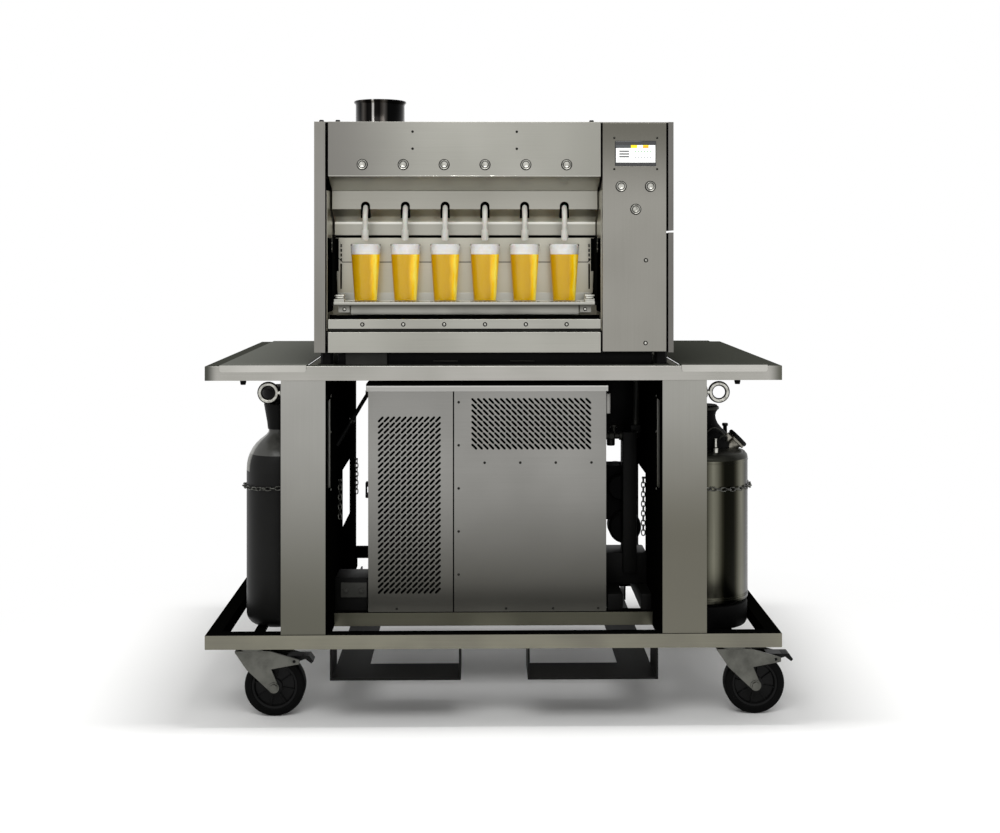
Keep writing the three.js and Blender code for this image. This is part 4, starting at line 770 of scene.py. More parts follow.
# Lager, clear and golden, with a painted highlight down one side of each cup and a painted glow.
BEER_STOPS_WITH_HIGHLIGHT = (
    (0.26, "#bd8f08"), (0.44, "#cfa812"), (0.66, "#cba00c"), (0.76, "#ffd20c"), (0.81, "#fff26a"), (0.88, "#f7c60a"),
)
BEER = BeerFinish(
    "beer_golden", "#ffd400", "#f2a800", roughness=0.05, drift_mm=6, grain_depth=0.02, see_through=0.15, bend=1.34,
    stops=BEER_STOPS_WITH_HIGHLIGHT,
)
# Clear polystyrene cup: hard, smooth and bright at its edges.
CUP_PLASTIC = ClearFinish("cup_polystyrene", "#ffffff", "#fafafa", roughness=0.03, drift_mm=40, grain_depth=0.01)
# Screen: black glass border, pale lit page, bars and marks.
SCREEN_GLASS = Finish(
    "screen_black_glass", "#191a1c", "#121315", roughness=0.12, drift_mm=60, grain_mm=(2, 2, 2), grain_depth=0,
    spread=0.02, coat=1,
)
SCREEN_PAGE = LitFinish("screen_page_white", "#f6f7f4", "#eceeea", **LIT)
SCREEN_BAR = LitFinish("screen_bar_grey", "#55585a", "#4c4f51", **LIT, power=0.25)
SCREEN_YELLOW = LitFinish("screen_mark_yellow", "#f6dc1f", "#f0cd14", **LIT)
SCREEN_ORANGE = LitFinish("screen_mark_orange", "#f2a51c", "#ea9712", **LIT)
SCREEN_GREEN = LitFinish("screen_mark_green", "#3f9a43", "#36893a", **LIT)
SCREEN_SILVER = LitFinish("screen_mark_silver", "#b9bcbd", "#adb0b1", **LIT)
# Flat black: painted shade for unlit insides seen through gaps and slots, and also dark seams, seals and washers.
DEEP_BLACK = Finish(
    "inside_black", "#060606", "#030303", roughness=0.8, drift_mm=50, grain_mm=(3, 3, 3), grain_depth=0.1, spread=0.1,
    gloss=0,
)




def into_mesh(name: str, shape: BMesh) -> bpy.types.Mesh:
    """Turns a shape into a mesh.

    Args:
        name: The mesh's name.
        shape: The shape, which is used up.

    Returns:
        The mesh.
    """
    mesh = bpy.data.meshes.new(name)
    shape.to_mesh(mesh)
    shape.free()
    return mesh


def set_out(name: str, data: bpy.types.ID) -> bpy.types.Object:
    """Puts an object into the scene.

    Args:
        name: The object's name.
        data: What it shows.

    Returns:
        The object.
    """
    made = bpy.data.objects.new(name, data)
    bpy.context.scene.collection.objects.link(made)
    return made


def placed(place: Point, angle: float = 0, axis: str = "Z") -> Matrix:
    """A turn about an axis, in radians, and then a move to a plan place."""
    return Matrix.Translation(Vector(place)) @ Matrix.Rotation(angle, 4, axis)


def rod(radius: float, low: float, high: float) -> list[Point]:
    """The profile of a plain round bar between two heights."""
    return [(0, low), (radius, low), (radius, high), (0, high)]


class Shape:
    """Mesh shapes made with bmesh operators, in plan millimetres."""

    @staticmethod
    def lathe(profile: Sequence[Point], centre: Point, segments: int = 48, axis: Axis = Axis.Z) -> BMesh:
        """Spins a profile about an axis through a centre.

        Args:
            profile: Radius and height of each point; it closes on itself unless it starts on the axis.
            centre: Plan place of the axis, whose height may be left out.
            segments: Steps of the turn.
            axis: The axis that it turns about.

        Returns:
            The closed shape.
        """
        bm = bmesh.new()
        points = [bm.verts.new((r, 0, h)) for r, h in profile]
        edges = [bm.edges.new(pair) for pair in zip(points, points[1:])]
        if profile[0][0] > 0:
            edges.append(bm.edges.new((points[-1], points[0])))
        bmesh.ops.spin(
            bm, geom=points + edges, cent=(0, 0, 0), axis=(0, 0, 1), angle=2 * math.pi, steps=segments,
            use_merge=True, use_duplicate=False,
        )
        bmesh.ops.remove_doubles(bm, verts=bm.verts, dist=TOUCH_MM)
        bmesh.ops.recalc_face_normals(bm, faces=bm.faces)
        return Shape.moved(bm, placed((*centre, 0)[:3]) @ axis.matrix())

    @staticmethod
    def block(low: Point, high: Point, round_mm: float = 0, segments: int = 2) -> BMesh:
        """A box between two corners, with its edges rounded.

        Args:
            low: Lowest corner.
            high: Highest corner.
            round_mm: Radius of its edges.
            segments: Steps in each rounded edge.

        Returns:
            The shape.
        """
        bm = bmesh.new()
        bmesh.ops.create_cube(bm, size=1.0)
        bmesh.ops.scale(bm, vec=[b - a for a, b in zip(low, high)], verts=bm.verts)
        bmesh.ops.translate(bm, vec=[(a + b) / 2 for a, b in zip(low, high)], verts=bm.verts)
        if round_mm:
            bmesh.ops.bevel(
                bm, geom=bm.edges[:], offset=round_mm, segments=segments, profile=0.5, affect="EDGES", material=-1
            )
        return bm

    @staticmethod
    def row(starts: Iterable[float], low: Point, high: Point, round_mm: float = 0) -> list[BMesh]:
        """Equal boxes side by side.

        Args:
            starts: Plan X from which each box's corners count.
            low: Lowest corner.
            high: Highest corner.
            round_mm: Radius of their edges.

        Returns:
            The boxes.
        """
        return [Shape.block((x + low[0], *low[1:]), (x + high[0], *high[1:]), round_mm) for x in starts]

    @staticmethod
    def tube(points: Sequence[Point], radius: float, sides: int = 12, closed: bool = False) -> BMesh:
        """A round bar or hose along smooth points.

        Args:
            points: Plan places of its centre line.
            radius: Its radius.
            sides: Faces round it.
            closed: True for a ring.

        Returns:
            The shape, with its ends closed.
        """
        curve = bpy.data.curves.new("centre_line", "CURVE")
        curve.dimensions = "3D"
        curve.bevel_depth = radius
        curve.bevel_resolution = max(sides // 4 - 1, 0)
        curve.use_fill_caps = True
        curve.resolution_u = 6
        line = curve.splines.new("BEZIER")
        line.bezier_points.add(len(points) - 1)
        for knot, place in zip(line.bezier_points, points):
            knot.co = place
            knot.handle_left_type = knot.handle_right_type = "AUTO"
        line.use_cyclic_u = closed
        holder = set_out("centre_line", curve)
        bpy.context.view_layer.update()
        mesh = bpy.data.meshes.new_from_object(holder.evaluated_get(bpy.context.evaluated_depsgraph_get()))
        bm = bmesh.new()
        bm.from_mesh(mesh)
        bmesh.ops.remove_doubles(bm, verts=bm.verts, dist=TOUCH_MM)
        bmesh.ops.recalc_face_normals(bm, faces=bm.faces)
        bpy.data.objects.remove(holder)
        bpy.data.curves.remove(curve)
        bpy.data.meshes.remove(mesh)
        return bm

    @staticmethod
    def copies(pattern: BMesh, places: Iterable[Matrix]) -> BMesh:
        """Copies a shape, which is used up, to many places.

        Args:
            pattern: The shape to copy.
            places: Where each copy goes.

        Returns:
            One shape with all the copies.
        """
        mesh = into_mesh("pattern", pattern)
        bm = bmesh.new()
        for place in places:
            count = len(bm.verts)
            bm.from_mesh(mesh)
            bm.verts.ensure_lookup_table()
            bmesh.ops.transform(bm, matrix=place, verts=bm.verts[count:])
        bpy.data.meshes.remove(mesh)
        return bm

    @staticmethod
    def joined(shapes: Iterable[BMesh]) -> BMesh:
        """Makes one shape of several.

        Args:
            shapes: The shapes, which are used up.

        Returns:
            The one shape.
        """
        bm = bmesh.new()
        for shape in shapes:
            spare = into_mesh("spare", shape)
            bm.from_mesh(spare)
            bpy.data.meshes.remove(spare)
        return bm

    @staticmethod
    def moved(shape: BMesh, matrix: Matrix) -> BMesh:
        """The shape itself, moved by a matrix in plan millimetres."""
        bmesh.ops.transform(shape, matrix=matrix, verts=shape.verts)
        return shape


def place_piece(
    name: str,
    shape: BMesh | Sequence[BMesh],
    finish: Finish,
    body: str = STAND,
    replaces: Sequence[str] = (),
    more: Sequence[Finish] = (),
) -> bpy.types.Object:
    """Turns a shape into a piece of the object that rides on a body.

    Args:
        name: The piece's name.
        shape: One shape or several, in plan millimetres, which are used up.
        finish: Its finish.
        body: The body that carries it.
        replaces: CAD nodes that it stands for.
        more: Further finishes for faces with a material number.

    Returns:
        The placed object.
    """
    if not isinstance(shape, BMesh):
        shape = Shape.joined(shape)
    to_row = Matrix.Scale(MM, 4) @ placed((SHIFT_MM, 0, 0))
    mesh = into_mesh(name, Shape.moved(shape, to_row))
    for each in (finish, *more):
        mesh.materials.append(each.build())
    mesh.shade_smooth()
    mesh.set_sharp_from_angle(angle=SHARP)
    made = set_out(name, mesh)
    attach(made, body)
    if replaces:
        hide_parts(*replaces)
    log.info("%s rides on %s, %d faces", name, body, len(mesh.polygons))
    return made


def dress_node(node: str, finish: Finish, edge_mm: float) -> None:
    """Gives a CAD node its finish and soft edges.

    Args:
        node: The node's name.
        finish: Its finish.
        edge_mm: Radius of its edges.
    """
    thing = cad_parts[node]
    made = finish.build()
    for place in thing.material_slots:
        place.material = made
    if not thing.material_slots:
        thing.data.materials.append(made)
    weld = thing.modifiers.new("weld", "WELD")
    weld.merge_threshold = WELD_M
    soft = thing.modifiers.new("edges", "BEVEL")
    soft.width = edge_mm / 1000
    soft.segments = 2
    soft.limit_method = "ANGLE"
    soft.angle_limit = SHARP
    soft.use_clamp_overlap = True
    log.info("%s is finished in %s", node, finish.label)


def screw_head(place: Point, radius: float) -> BMesh:
    """A button-head screw with a round socket, seen from -Y.

    Args:
        place: Plan place of its seat.
        radius: Radius of the head.

    Returns:
        The shape.
    """
    head = ((0.99, 0), (1, -0.099), (0.86, -0.363), (0.62, -0.55), (0.42, -0.55), (0.4, -0.1925), (0, -0.165))
    return Shape.lathe([(0, 0.2)] + [(radius * r, radius * h) for r, h in head], place, 18, Axis.Y)


def screws(
    name: str, places: Iterable[Point], radius: float, finish: Finish = POLISHED, body: str = STAND
) -> None:
    """Places a group of screws as one piece.

    Args:
        name: The piece's name.
        places: Plan places of their seats.
        radius: Radius of the heads.
        finish: Their finish.
        body: The body that carries them.
    """
    place_piece(name, [screw_head(p, radius) for p in places], finish, body)


@dataclass(frozen=True)
class Chain:
    """A welded chain of oval links, each turned a quarter from the last.

    Attributes:
        wire: Radius of the link's wire.
        half: Half the length of a link's centre line.
        width: Half its width.
        points: How many points draw a link's centre line.
        twist_rad: How far the first link is turned about the path.
    """

    wire: float = 1.4
    half: float = 8
    width: float = 4
    points: int = 12
    twist_rad: float = 0.35

    def link(self) -> BMesh:
        """Bends one link to copy.

        Returns:
            The link.
        """
        ring = []
        for i in range(self.points):
            turn = 2 * math.pi * (i + 0.5) / self.points
            end = math.copysign(self.half - self.width, math.sin(turn))
            ring.append((math.cos(turn) * self.width, 0, math.sin(turn) * self.width + end))
        return Shape.tube(ring, self.wire, sides=8, closed=True)

    def lay(self, name: str, points: Sequence[Point]) -> None:
        """Lays the chain along a path.

        Args:
            name: The piece's name.
            points: Plan places of the path.
        """
        pitch = 2 * (self.half - self.wire)
        route = [Vector(p) for p in points]
        lengths = reaches(route)
        places = []
        for number in range(int(lengths[-1] / pitch)):
            spot, along = walk(route, lengths, (number + 0.5) * pitch)
            turn = Vector((0, 0, 1)).rotation_difference(along).to_matrix().to_4x4()
            twist = Matrix.Rotation(QUARTER * (number % 2) + self.twist_rad, 4, "Z")
            places.append(Matrix.Translation(spot) @ turn @ twist)
        place_piece(name, Shape.copies(self.link(), places), CHAIN_ZINC)


def reaches(route: Sequence[Vector]) -> list[float]:
    """Measures a route.

    Args:
        route: The route's points.

    Returns:
        How far along it each of them lies.
    """
    lengths = [0.0]
    for a, b in zip(route, route[1:]):
        lengths.append(lengths[-1] + (b - a).length)
    return lengths


def walk(route: Sequence[Vector], lengths: Sequence[float], reach: float) -> tuple[Vector, Vector]:
    """Finds a place along a route.

    Args:
        route: The route's points.
        lengths: How far along it each of them lies.
        reach: How far along it the place lies.

    Returns:
        The place, and the direction of the route there.
    """
    leg = max(i for i, done in enumerate(lengths[:-1]) if done <= reach + 1e-9)
    share = (reach - lengths[leg]) / (lengths[leg + 1] - lengths[leg])
    return route[leg].lerp(route[leg + 1], share), (route[leg + 1] - route[leg]).normalized()


@dataclass
class Hose:
    """A hose held at both ends, at its own length.

    Attributes:
        name: The piece's name.
        route: Plan places of its centre line.
        diameter: Its outer diameter.
        finish: Its finish.
    """

    name: str
    route: Sequence[Point]
    diameter: float
    finish: Finish

    def smooth(self, count: int = 24) -> list[Vector]:
        """Draws one smooth curve through the route.

        Args:
            count: How many points it gets.

        Returns:
            Points at even steps along the curve.
        """
        knots = [Vector(p) for p in self.route]
        knots = [2 * knots[0] - knots[1]] + knots + [2 * knots[-1] - knots[-2]]
        fine = []
        for i in range(1, len(knots) - 2):
            a, b, c, d = knots[i - 1 : i + 3]
            for t in [number / count for number in range(count)]:
                curve = (c - a) * t + (2 * a - 5 * b + 4 * c - d) * t**2 + (3 * b - a - 3 * c + d) * t**3
                fine.append(b + 0.5 * curve)
        fine.append(knots[-2])
        lengths = reaches(fine)
        return [walk(fine, lengths, lengths[-1] * i / (count - 1))[0] for i in range(count)]

    def build(self) -> None:
        """Makes the hose."""
        points = self.smooth()
        made = place_piece(self.name, Shape.tube(points, self.diameter / 2, 16), self.finish)


def mixed_shader(tree: NodeTree, share: NodeSocket, first: Node, second: Node) -> Node:
    """Mixes two shaders, where a share of 1 gives the second."""
    return add_node(tree, "ShaderNodeMixShader", links={0: share, 1: first.outputs[0], 2: second.outputs[0]})


@dataclass
class Studio:
    """The camera, floor and lights.

    Attributes:
        eye: Plan place of the camera.
        turn_rad: How far it looks to the right of +Y.
        focus_px: Its focal length in pixels of a picture 1000 wide.
        drop: Share of the picture's width that the view is shifted down.
        film_mm: Width of the camera's film.
        far_m: How far the camera sees.
        floor_m: Half the width of the floor.
        pool: One over the metres along X, Y and Z within which the floor is only lit.
        sky: Strength of the light that comes from all round.
    """

    eye: tuple[float, float, float] = (-32.3, -3461.7, 1162)
    turn_rad: float = 0.01502
    focus_px: float = 1263.3
    drop: float = 0.1689
    film_mm: float = 36
    far_m: float = 60
    floor_m: float = 14
    pool: tuple[float, float, float] = (1, 1 / 0.85, 0)
    sky: float = 0.64

    def camera(self) -> None:
        """Places the camera where the photograph was taken from."""
        lens = bpy.data.cameras.new("camera")
        lens.sensor_width = self.film_mm
        lens.lens = self.film_mm * self.focus_px / 1000
        lens.shift_y = -self.drop
        lens.clip_end = self.far_m
        holder = set_out("camera", lens)
        holder.location = at(*self.eye)
        holder.rotation_euler = (QUARTER, 0, -self.turn_rad)
        bpy.context.scene.camera = holder

    def seen_rays(self, tree: NodeTree) -> NodeSocket:
        """Finds the rays that show a background: from the camera, off metal and through glass.

        Args:
            tree: The node tree.

        Returns:
            1 for such a ray and 0 for any other.
        """
        rays = add_node(tree, "ShaderNodeLightPath").outputs
        either = maths(tree, "MAXIMUM", rays["Is Camera Ray"], rays["Is Glossy Ray"])
        return maths(tree, "MAXIMUM", either, rays["Is Transmission Ray"])

    def floor(self) -> None:
        """Lays a pale floor that shows white far off and keeps the shadow near the part."""
        bm = bmesh.new()
        bmesh.ops.create_grid(bm, x_segments=1, y_segments=1, size=self.floor_m)
        made = bpy.data.materials.new("floor_white")
        made.use_nodes = True
        tree = made.node_tree
        tree.nodes.clear()
        spread = mapped(tree, own_place(tree), Scale=self.pool)
        reach = add_node(tree, "ShaderNodeVectorMath", {"operation": "LENGTH"}, {0: spread})
        lit = add_node(tree, "ShaderNodeBsdfDiffuse", Color=linear("#fbfbfa"))
        glow = add_node(tree, "ShaderNodeEmission", Color=linear("#ffffff"), Strength=1)
        seen = mixed_shader(tree, step(tree, reach.outputs["Value"], 1, 1.7), lit, glow)
        dull = add_node(tree, "ShaderNodeBsdfDiffuse", Color=linear("#8a8a88"))
        mixed = mixed_shader(tree, self.seen_rays(tree), dull, seen)
        add_node(tree, "ShaderNodeOutputMaterial", links={"Surface": mixed.outputs["Shader"]})
        mesh = into_mesh("floor", bm)
        mesh.materials.append(made)
        plane = set_out("floor", mesh)

    def world(self) -> None:
        """Surrounds the scene with a white that the camera and glossy surfaces see in full."""
        world = bpy.data.worlds.new("studio")
        world.use_nodes = True
        tree = world.node_tree
        tree.nodes.clear()
        dim = add_node(tree, "ShaderNodeBackground", Color=linear("#ffffff"), Strength=self.sky)
        full = add_node(tree, "ShaderNodeBackground", Color=linear("#ffffff"), Strength=1)
        mixed = mixed_shader(tree, self.seen_rays(tree), dim, full)
        add_node(tree, "ShaderNodeOutputWorld", links={"Surface": mixed.outputs["Shader"]})
        bpy.context.scene.world = world

    def lamp(self, name: str, place: Point, size: tuple[float, float], power: float, aim: Point) -> None:
        """Hangs a soft rectangular lamp.

        Args:
            name: Its name.
            place: Plan place.
            size: Its width and height in metres.
            power: Its power in watts.
            aim: Plan place that it faces.
        """
        light = bpy.data.lights.new(name, "AREA")
        light.shape = "RECTANGLE"
        light.size, light.size_y = size
        light.energy = power
        holder = set_out(name, light)
        holder.location = at(*place)
        holder.rotation_euler = (at(*aim) - at(*place)).to_track_quat("-Z", "Y").to_euler()

    def build(self) -> None:
        """Sets up the whole studio."""
        self.camera()
        self.floor()
        self.world()
        self.lamp("strip_above", (0, -370, 3400), (1, 0.3), 58, (0, -369, 0))
        self.lamp("key_front", (-300, -3300, 3900), (3, 1.6), 60, (0, 0, 700))
        bpy.context.scene.view_settings.view_transform = "Standard"


@dataclass
class CounterDress:
    """The counter's tube ring and boards.

    Attributes:
        infills: Plan X of the strips beside the rails.
        seams: Plan X of the dark lines between strips and boards.
        reach: How far both run to the front and to the back.
        stops: Plan X of the rubber stops under the front tube.
        stop_y: Plan Y of their axes.
    """

    infills: tuple[float, float] = (-455.3, 434.7)
    seams: tuple[float, float] = (-454.9, 452.3)
    reach: float = 364
    stops: tuple[float, float] = (-610, 594)
    stop_y: float = -384

    def build(self) -> None:
        """Dresses the tubes and boards, fills the rails' sides and hangs the rubber stops."""
        dress_node("counter_frame", TUBE_STEEL, 1.5)
        dress_node("counter_board_left", BOARD_LEFT, 0.5)
        dress_node("counter_board_right", BOARD_RIGHT, 0.5)
        y = self.reach
        place_piece("rail_infills", Shape.row(self.infills, (0, -y, 870.6), (20.6, y, 873.6)), INFILL)
        place_piece("rail_seams", Shape.row(self.seams, (0, -y, 873.6), (2.6, y, 874)), DEEP_BLACK)
        stop = [(0, 840), (7.5, 840), (7.5, 836), (6, 829), (0, 829)]
        place_piece("rubber_stops", [Shape.lathe(stop, (x, self.stop_y), 24) for x in self.stops], RUBBER)


@dataclass
class CartDress:
    """The base frame, legs, eye bolts and forklift pockets.

    Attributes:
        eye: Plan place of the right eye's centre.
        eye_radius: Radius of the ring's centre line.
        wire: Radius of its bar.
        root: Plan X of the right post's outer face.
    """

    eye: tuple[float, float, float] = (551, -371, 808)
    eye_radius: float = 21
    wire: float = 6
    root: float = 517.6

    def eye_bolt(self, side: int) -> list[BMesh]:
        """One lifting eye with its shank and collar.

        Args:
            side: -1 for the left post and 1 for the right.

        Returns:
            The shapes.
        """
        x, y, z = self.eye
        turns = [i * math.pi / 8 for i in range(16)]
        round_bar = [(self.eye_radius + self.wire * math.cos(a), self.wire * math.sin(a)) for a in turns]
        low, high = sorted((0, side * (x - self.eye_radius - self.root + 1.5)))
        near, far = sorted((0, side * 4))
        collar = [(0, near), (13, near), (14, (near + far) / 2), (13, far), (0, far)]
        seat = (side * self.root, y, z)
        return [
            Shape.lathe(round_bar, (side * x, y, z), 56, Axis.Y),
            Shape.lathe(rod(self.wire, low, high), seat, 24, Axis.X),
            Shape.lathe(collar, seat, 32, Axis.X),
        ]

    def build(self) -> None:
        """Dresses the cart, and puts screws on the legs' inner faces and painted shade plates behind their slots."""
        dress_node("base_frame", BASE_STEEL, 1.2)
        dress_node("back_bar", REAR_PAINTED_SHADE, 1)
        heads = []
        for name, side, steel in (("left", -1, POST_STEEL), ("right", 1, POST_RIGHT_SHADED)):
            dress_node(f"leg_{name}", steel, 0.6)
            dress_node(f"fork_pocket_{name}", POWDER_BLACK, 0.8)
            place_piece(f"eye_{name}", self.eye_bolt(side), POLISHED, STAND, [f"eye_bolt_{name}"])
            for z in (790, 556, 700):
                heads.append(Shape.moved(screw_head((0, 0, 0), 3.5), placed((side * WALL, -290, z), -side * QUARTER)))
        place_piece("leg_screws", heads, ZINC)
        # Grey plates behind the slots: painted shade for the posts' insides.
        place_piece("leg_slot_shade_plates", Shape.row((-413.4, 412.4), (0, -350, 536), (1, -290, 800)), BOX_GREY)


@dataclass
class Caster:
    """One swivel caster.

    Attributes:
        name: Its place, such as front_left.
        x: Plan X of its swivel.
        y: Plan Y of its swivel.
        trail: How far the axle trails.
        radius: The wheel's radius.
    """

    name: str
    x: float
    y: float
    trail: float = 53
    radius: float = 75

    def wheel(self, hub: Point) -> None:
        """Turns the wheel with its tread, ribbed centre and bearing.

        Args:
            hub: Plan place of its hub.
        """
        tread = [(56, -17), (58, -19), (70, -19), (73.5, -16.5), (75, -12)]
        centre = [(6.6, -23), (17, -23), (19.5, -21.5), (20, -14), (24, -11.5), (48, -10), (51, -15.5), (56.2, -16.5)]
        tread, centre = [half + [(r, -h) for r, h in reversed(half)] for half in (tread, centre)]
        body = f"wheel_{self.name}"
        rubber = Shape.lathe(tread, hub, 72, Axis.Y)
        place_piece(f"tread_{self.name}", rubber, RUBBER, body, [f"caster_wheel_{self.name}"])
        parts = [Shape.lathe(centre, hub, 56, Axis.Y)]
        for i in range(8):
            rib = Shape.block((-1.6, -14.5, 21), (1.6, 14.5, 50), 0.8, 1)
            parts.append(Shape.moved(rib, placed(hub, QUARTER / 2 * i + 0.2, "Y")))
        place_piece(f"wheel_centre_{self.name}", parts, NYLON, body)

    def build(self) -> None:
        """Dresses the fork, wheel, bolts and pedal."""
        x, y = self.x, self.y
        dress_node(f"caster_fork_{self.name}", ZINC, 1)
        hub = (x + self.trail, y, self.radius)
        self.wheel(hub)
        trim = []
        for side in (-1, 1):
            washer = [(6.2, 0), (13.5, 0), (13, 1.6 * side), (6.2, 1.6 * side)]
            trim.append(Shape.lathe(washer, (hub[0], y + 30 * side, self.radius), 28, Axis.Y))
        ring = [(38.1, 168), (40, 167), (41.5, 170), (41.5, 174), (39.5, 177), (38.1, 176)]
        trim.append(Shape.lathe(ring, (x, y)))
        place_piece(f"caster_trim_{self.name}", trim, ZINC, f"caster_{self.name}")
        bolt = [(0, 178.5), (6.5, 178.5), (7, 179.5), (7, 181.9), (0, 181.9)]
        bolts = [Shape.lathe(bolt, (x + across, y + back), 6) for across in (-49, 49) for back in (-38, 38)]
        place_piece(f"caster_bolts_{self.name}", bolts, ZINC)
        if self.name.startswith("front"):
            dress_node(f"brake_pedal_{self.name}", NYLON, 0.8)
            starts = [x + 122 + 5 * i for i in range(3)]
            ribs = [Shape.block((rib, y - 15, 147.5), (rib + 2, y + 15, 150.6), 0.5, 1) for rib in starts]
            place_piece(f"pedal_ribs_{self.name}", ribs, NYLON, f"pedal_{self.name}")


@dataclass
class CoolerDress:
    """The cooler under the counter.

    Attributes:
        front: Plan Y of its front panels.
        seam: Plan X of the seam between them.
        pitch: Distance between the grilles' slots.
        grilles: Name, middle, columns, rows and lean of each grille.
    """

    front: float = -214
    seam: float = -103
    pitch: float = 14.67
    grilles: tuple[tuple[str, float, float, int, int, int], ...] = (
        ("left", -216.4, 500.7, 11, 31, 1),
        ("right", 97, 709, 21, 9, -1),
    )

    def build(self) -> None:
        """Dresses the cooler and places painted shade behind and round its slots, and its screws, catch and handle."""
        dress_node("cooler_cabinet", COOLER_STEEL, 0.7)
        for node in ("cooler_front_left", "cooler_front_right"):
            dress_node(node, GRILLE_STEEL, 0.2)
        # Black blocks behind the grilles: painted shade for the cooler's insides.
        pads = ((-316, -211.6, 232), (-108, -210.9, 786)), ((-97, -211.6, 640), (284, -210.9, 786))
        place_piece("grille_backing_shade", [Shape.block(*corners) for corners in pads], DEEP_BLACK)
        self.shade_rings()
        dress_node("cooler_lid", LID_STEEL_LIT, 0.7)
        places = [(-89.7, z) for z in (764.6, 653.9, 543.2, 432.5, 321.9)]
        places += [(x, 608.9) for x in (-23, 68.6, 160, 252)]
        places += [(x, 234) for x in (-248.5, 32, 153, 269)]
        screws("cooler_screws", [(x, self.front, z) for x, z in places], 3.4, DARK_STEEL)
        place_piece("cooler_catch", Shape.block((290.2, -200, 733), (303.2, -185, 785), 2), COOLER_STEEL)
        grip = [Shape.block((-331, -196, z), (-322.2, -176, z + 12), 2.5) for z in (515, 544)]
        grip.append(Shape.block((-331, -193, 518), (-327, -179, 553), 1.5))
        place_piece("cooler_handle", grip, NYLON)

    def shade_ring(self) -> BMesh:
        """Draws a dark ring of painted shade round one slot, to copy.

        Returns:
            The ring.
        """
        bm = bmesh.new()
        edges = []
        for u, v, cut in ((8.2, 1.5, 1.2), (9.9, 2.9, 2.2)):
            half = [(-u, -v + cut), (-u + cut, -v), (u - cut, -v), (u, -v + cut)]
            points = [bm.verts.new((a, 0, b)) for a, b in half + [(-a, -b) for a, b in half]]
            edges += [bm.edges.new(pair) for pair in zip(points, points[1:] + points[:1])]
        bmesh.ops.bridge_loops(bm, edges=edges)
        grown = bmesh.ops.extrude_face_region(bm, geom=bm.faces[:])
        moved = [v for v in grown["geom"] if isinstance(v, BMVert)]
        bmesh.ops.translate(bm, vec=(0, -0.25, 0), verts=moved)
        bmesh.ops.recalc_face_normals(bm, faces=bm.faces)
        return bm

    def shade_rings(self) -> None:
        """Rings every slot of the two grilles with painted shade, and fills the seam between the panels."""
        for name, x, z, columns, rows, lean in self.grilles:
            slots = []
            for number in range(columns * rows):
                across = (number % columns - (columns - 1) / 2) * self.pitch
                up = (number // columns - (rows - 1) / 2) * self.pitch
                slots.append(placed((x + across, self.front, z + up), -lean * QUARTER / 2, "Y"))
            place_piece(f"grille_slot_shade_{name}", Shape.copies(self.shade_ring(), slots), DEEP_BLACK)
        seal = Shape.block((self.seam - 1.7, self.front - 0.15, 226.6), (self.seam + 1.7, self.front + 8, 792.4))
        place_piece("cooler_seal", seal, DEEP_BLACK)


